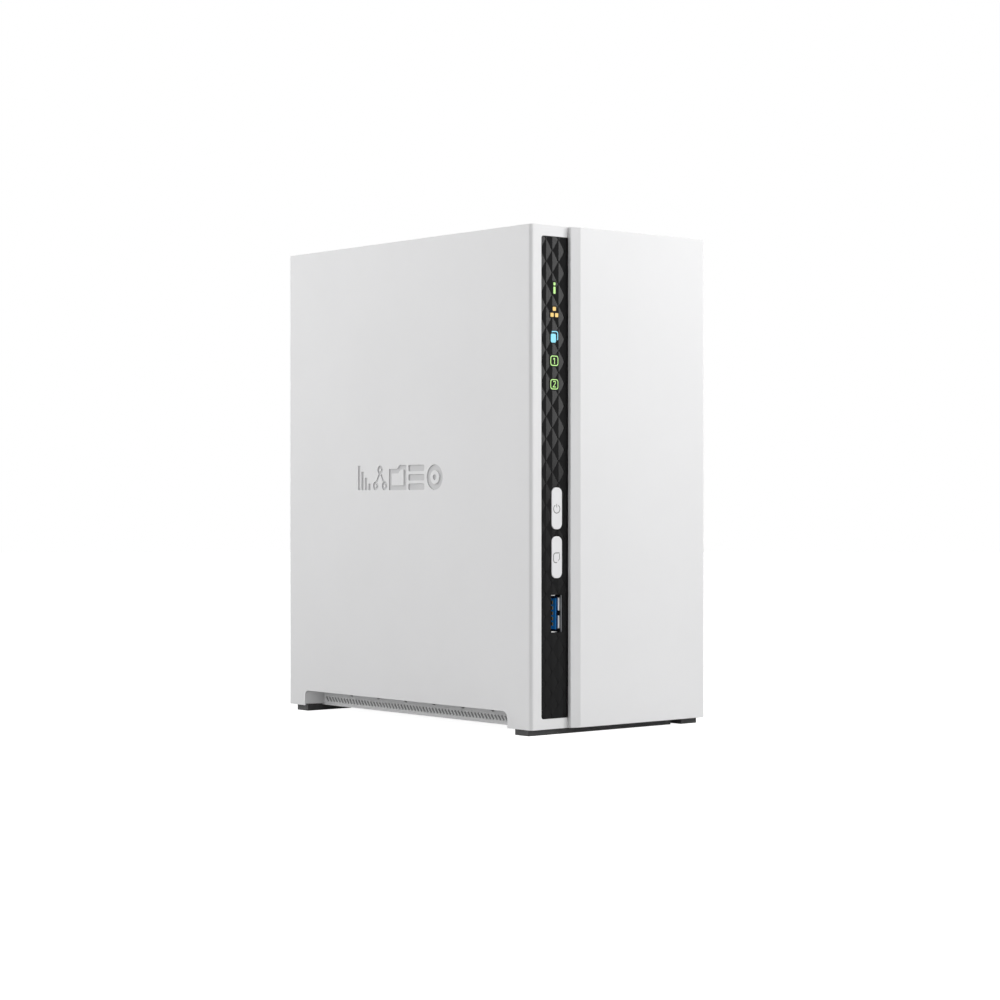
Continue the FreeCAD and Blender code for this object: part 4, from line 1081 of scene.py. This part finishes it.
def drive_face(number):
    """The pressed lid: rim, two round bosses, screws, and a printed label of bars and lines."""
    lid = f"drive_{number}_lid"
    spots = islands(lid)[0]
    low, high = span(spots, 0)
    y, z = span(spots, 1), span(spots, 2)
    plate = [slab(pill(*y, *z, 4), low, high - 0.55, "x")]
    step = pill(y[0] + 3, y[1] - 3, z[0] + 3, z[1] - 3, 5)
    plate.append(slab(step, low, high - 0.25, "x"))
    round_boss = [(0, low), (44, low), (44, high - 0.35), (43, high), (20, high), (19, high - 0.3),
                  (13, high - 0.3), (12, high), (4.2, high), (3.6, high - 0.4), (0, high - 0.4)]
    plate.append(turned(round_boss, "x", *DRIVE_HUB, 96))
    small_boss = [(0, low), (15, low), (15, high - 0.2), (14, high), (0, high)]
    plate.append(turned(small_boss, "x", *DRIVE_PIVOT, 64))
    piece = placed(lid + "_pressed", together(lid + "_pressed", plate), lid)
    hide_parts(lid)
    soften(piece, 0.00015, 3, 25)
    heads, sockets = [], []
    head = [(0, high - 0.6), (2.3, high - 0.6), (2.35, high - 0.1), (1.9, high + 0.12),
            (0, high + 0.12)]
    for b in (z[0] + 3.2, z[1] - 3.2, 84):
        for a in (y[0] + 3.2, y[1] - 3.2):
            heads.append(turned(head, "x", a, b, 32))
            sockets.append(slab(lobed(a, b), high - 0.4, high + 1, "x"))
    screw = placed(lid + "_screws", together(lid + "_screws", heads), lid)
    carve(screw, sockets)
    soften(screw, 0.00004, 2)
    top = high + 0.07
    paper = [slab(pill(y[0] + 12, y[1] - 12, 38, 92, 1.5), high - 0.3, top, "x")]
    soften(placed(lid + "_label", together(lid + "_label", paper), lid, "shell_white", "label_paper"),
           0.00002, 2)
    ink = []
    inked = (high - 0.2, top + 0.02)
    margin = y[0] + 16
    for row, (long, tall) in enumerate(PRINT_LINES):
        z_row = 84 - row * 4.2
        ink.append(block(inked, (margin, margin + long), (z_row, z_row + tall)))
    at = margin
    chance = random.Random(3)
    while at < margin + 42:
        bar = chance.choice((0.4, 0.8, 1.2))
        ink.append(block(inked, (at, at + bar), (43, 53)))
        at += bar + chance.choice((0.5, 0.9))
    placed(lid + "_print", together(lid + "_print", ink), lid, "part_black", "label_ink")


def sleek(node):
    """A smooth-shaded copy of a curved node, with its true creases kept."""
    piece = placed(node + "_smooth", clean_copy(node), node)
    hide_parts(node)
    smooth(piece, 30)


# ---------------------------------------------------------------- assembly

MATERIALS = {}


def main():
    camera()
    studio()
    MATERIALS.update(make_materials())
    for node, piece in NODES.items():
        piece.data.materials.clear()
        piece.data.materials.append(MATERIALS[SLOT_OF[node]])
    for node in ("side_cover", "front_panel"):
        skin(node, EDGE)
    feet()
    recess_ends()
    for node in ("rear_panel", "drive_cage", "lan_jack", "usb_rear_shells", "power_inlet", "heatsink",
                 "processor", "board_chips", "memory_chips", "fan_frame", "drive_sockets",
                 "backplane_socket", "fan_header"):
        skin(node, 0.00012, 2)
    for node in ("drive_1_casting", "drive_2_casting"):
        skin(node, 0.0004, 3)
    for node in ("fan_guard", "fan_cable", "fan_rotor"):
        sleek(node)
    left_casing()
    vent_slot_shades()
    keys()
    strip_relief()
    indicators()
    front_socket()
    screws("fan_screws", lambda spots: "y")
    screws("drive_screws", lambda spots: "y")
    screws("inner_screws", lambda spots: "x" if span(spots, 0)[0] < -36 else "z")
    for node in ("thumbscrew_1", "thumbscrew_2"):
        thumb_knob(node)
    chip_legs("board_chips", 0.9)
    chip_legs("memory_chips", 0.8, (0,))
    small_parts()
    cans()
    coin()
    for number in (1, 2):
        drive_face(number)


main()
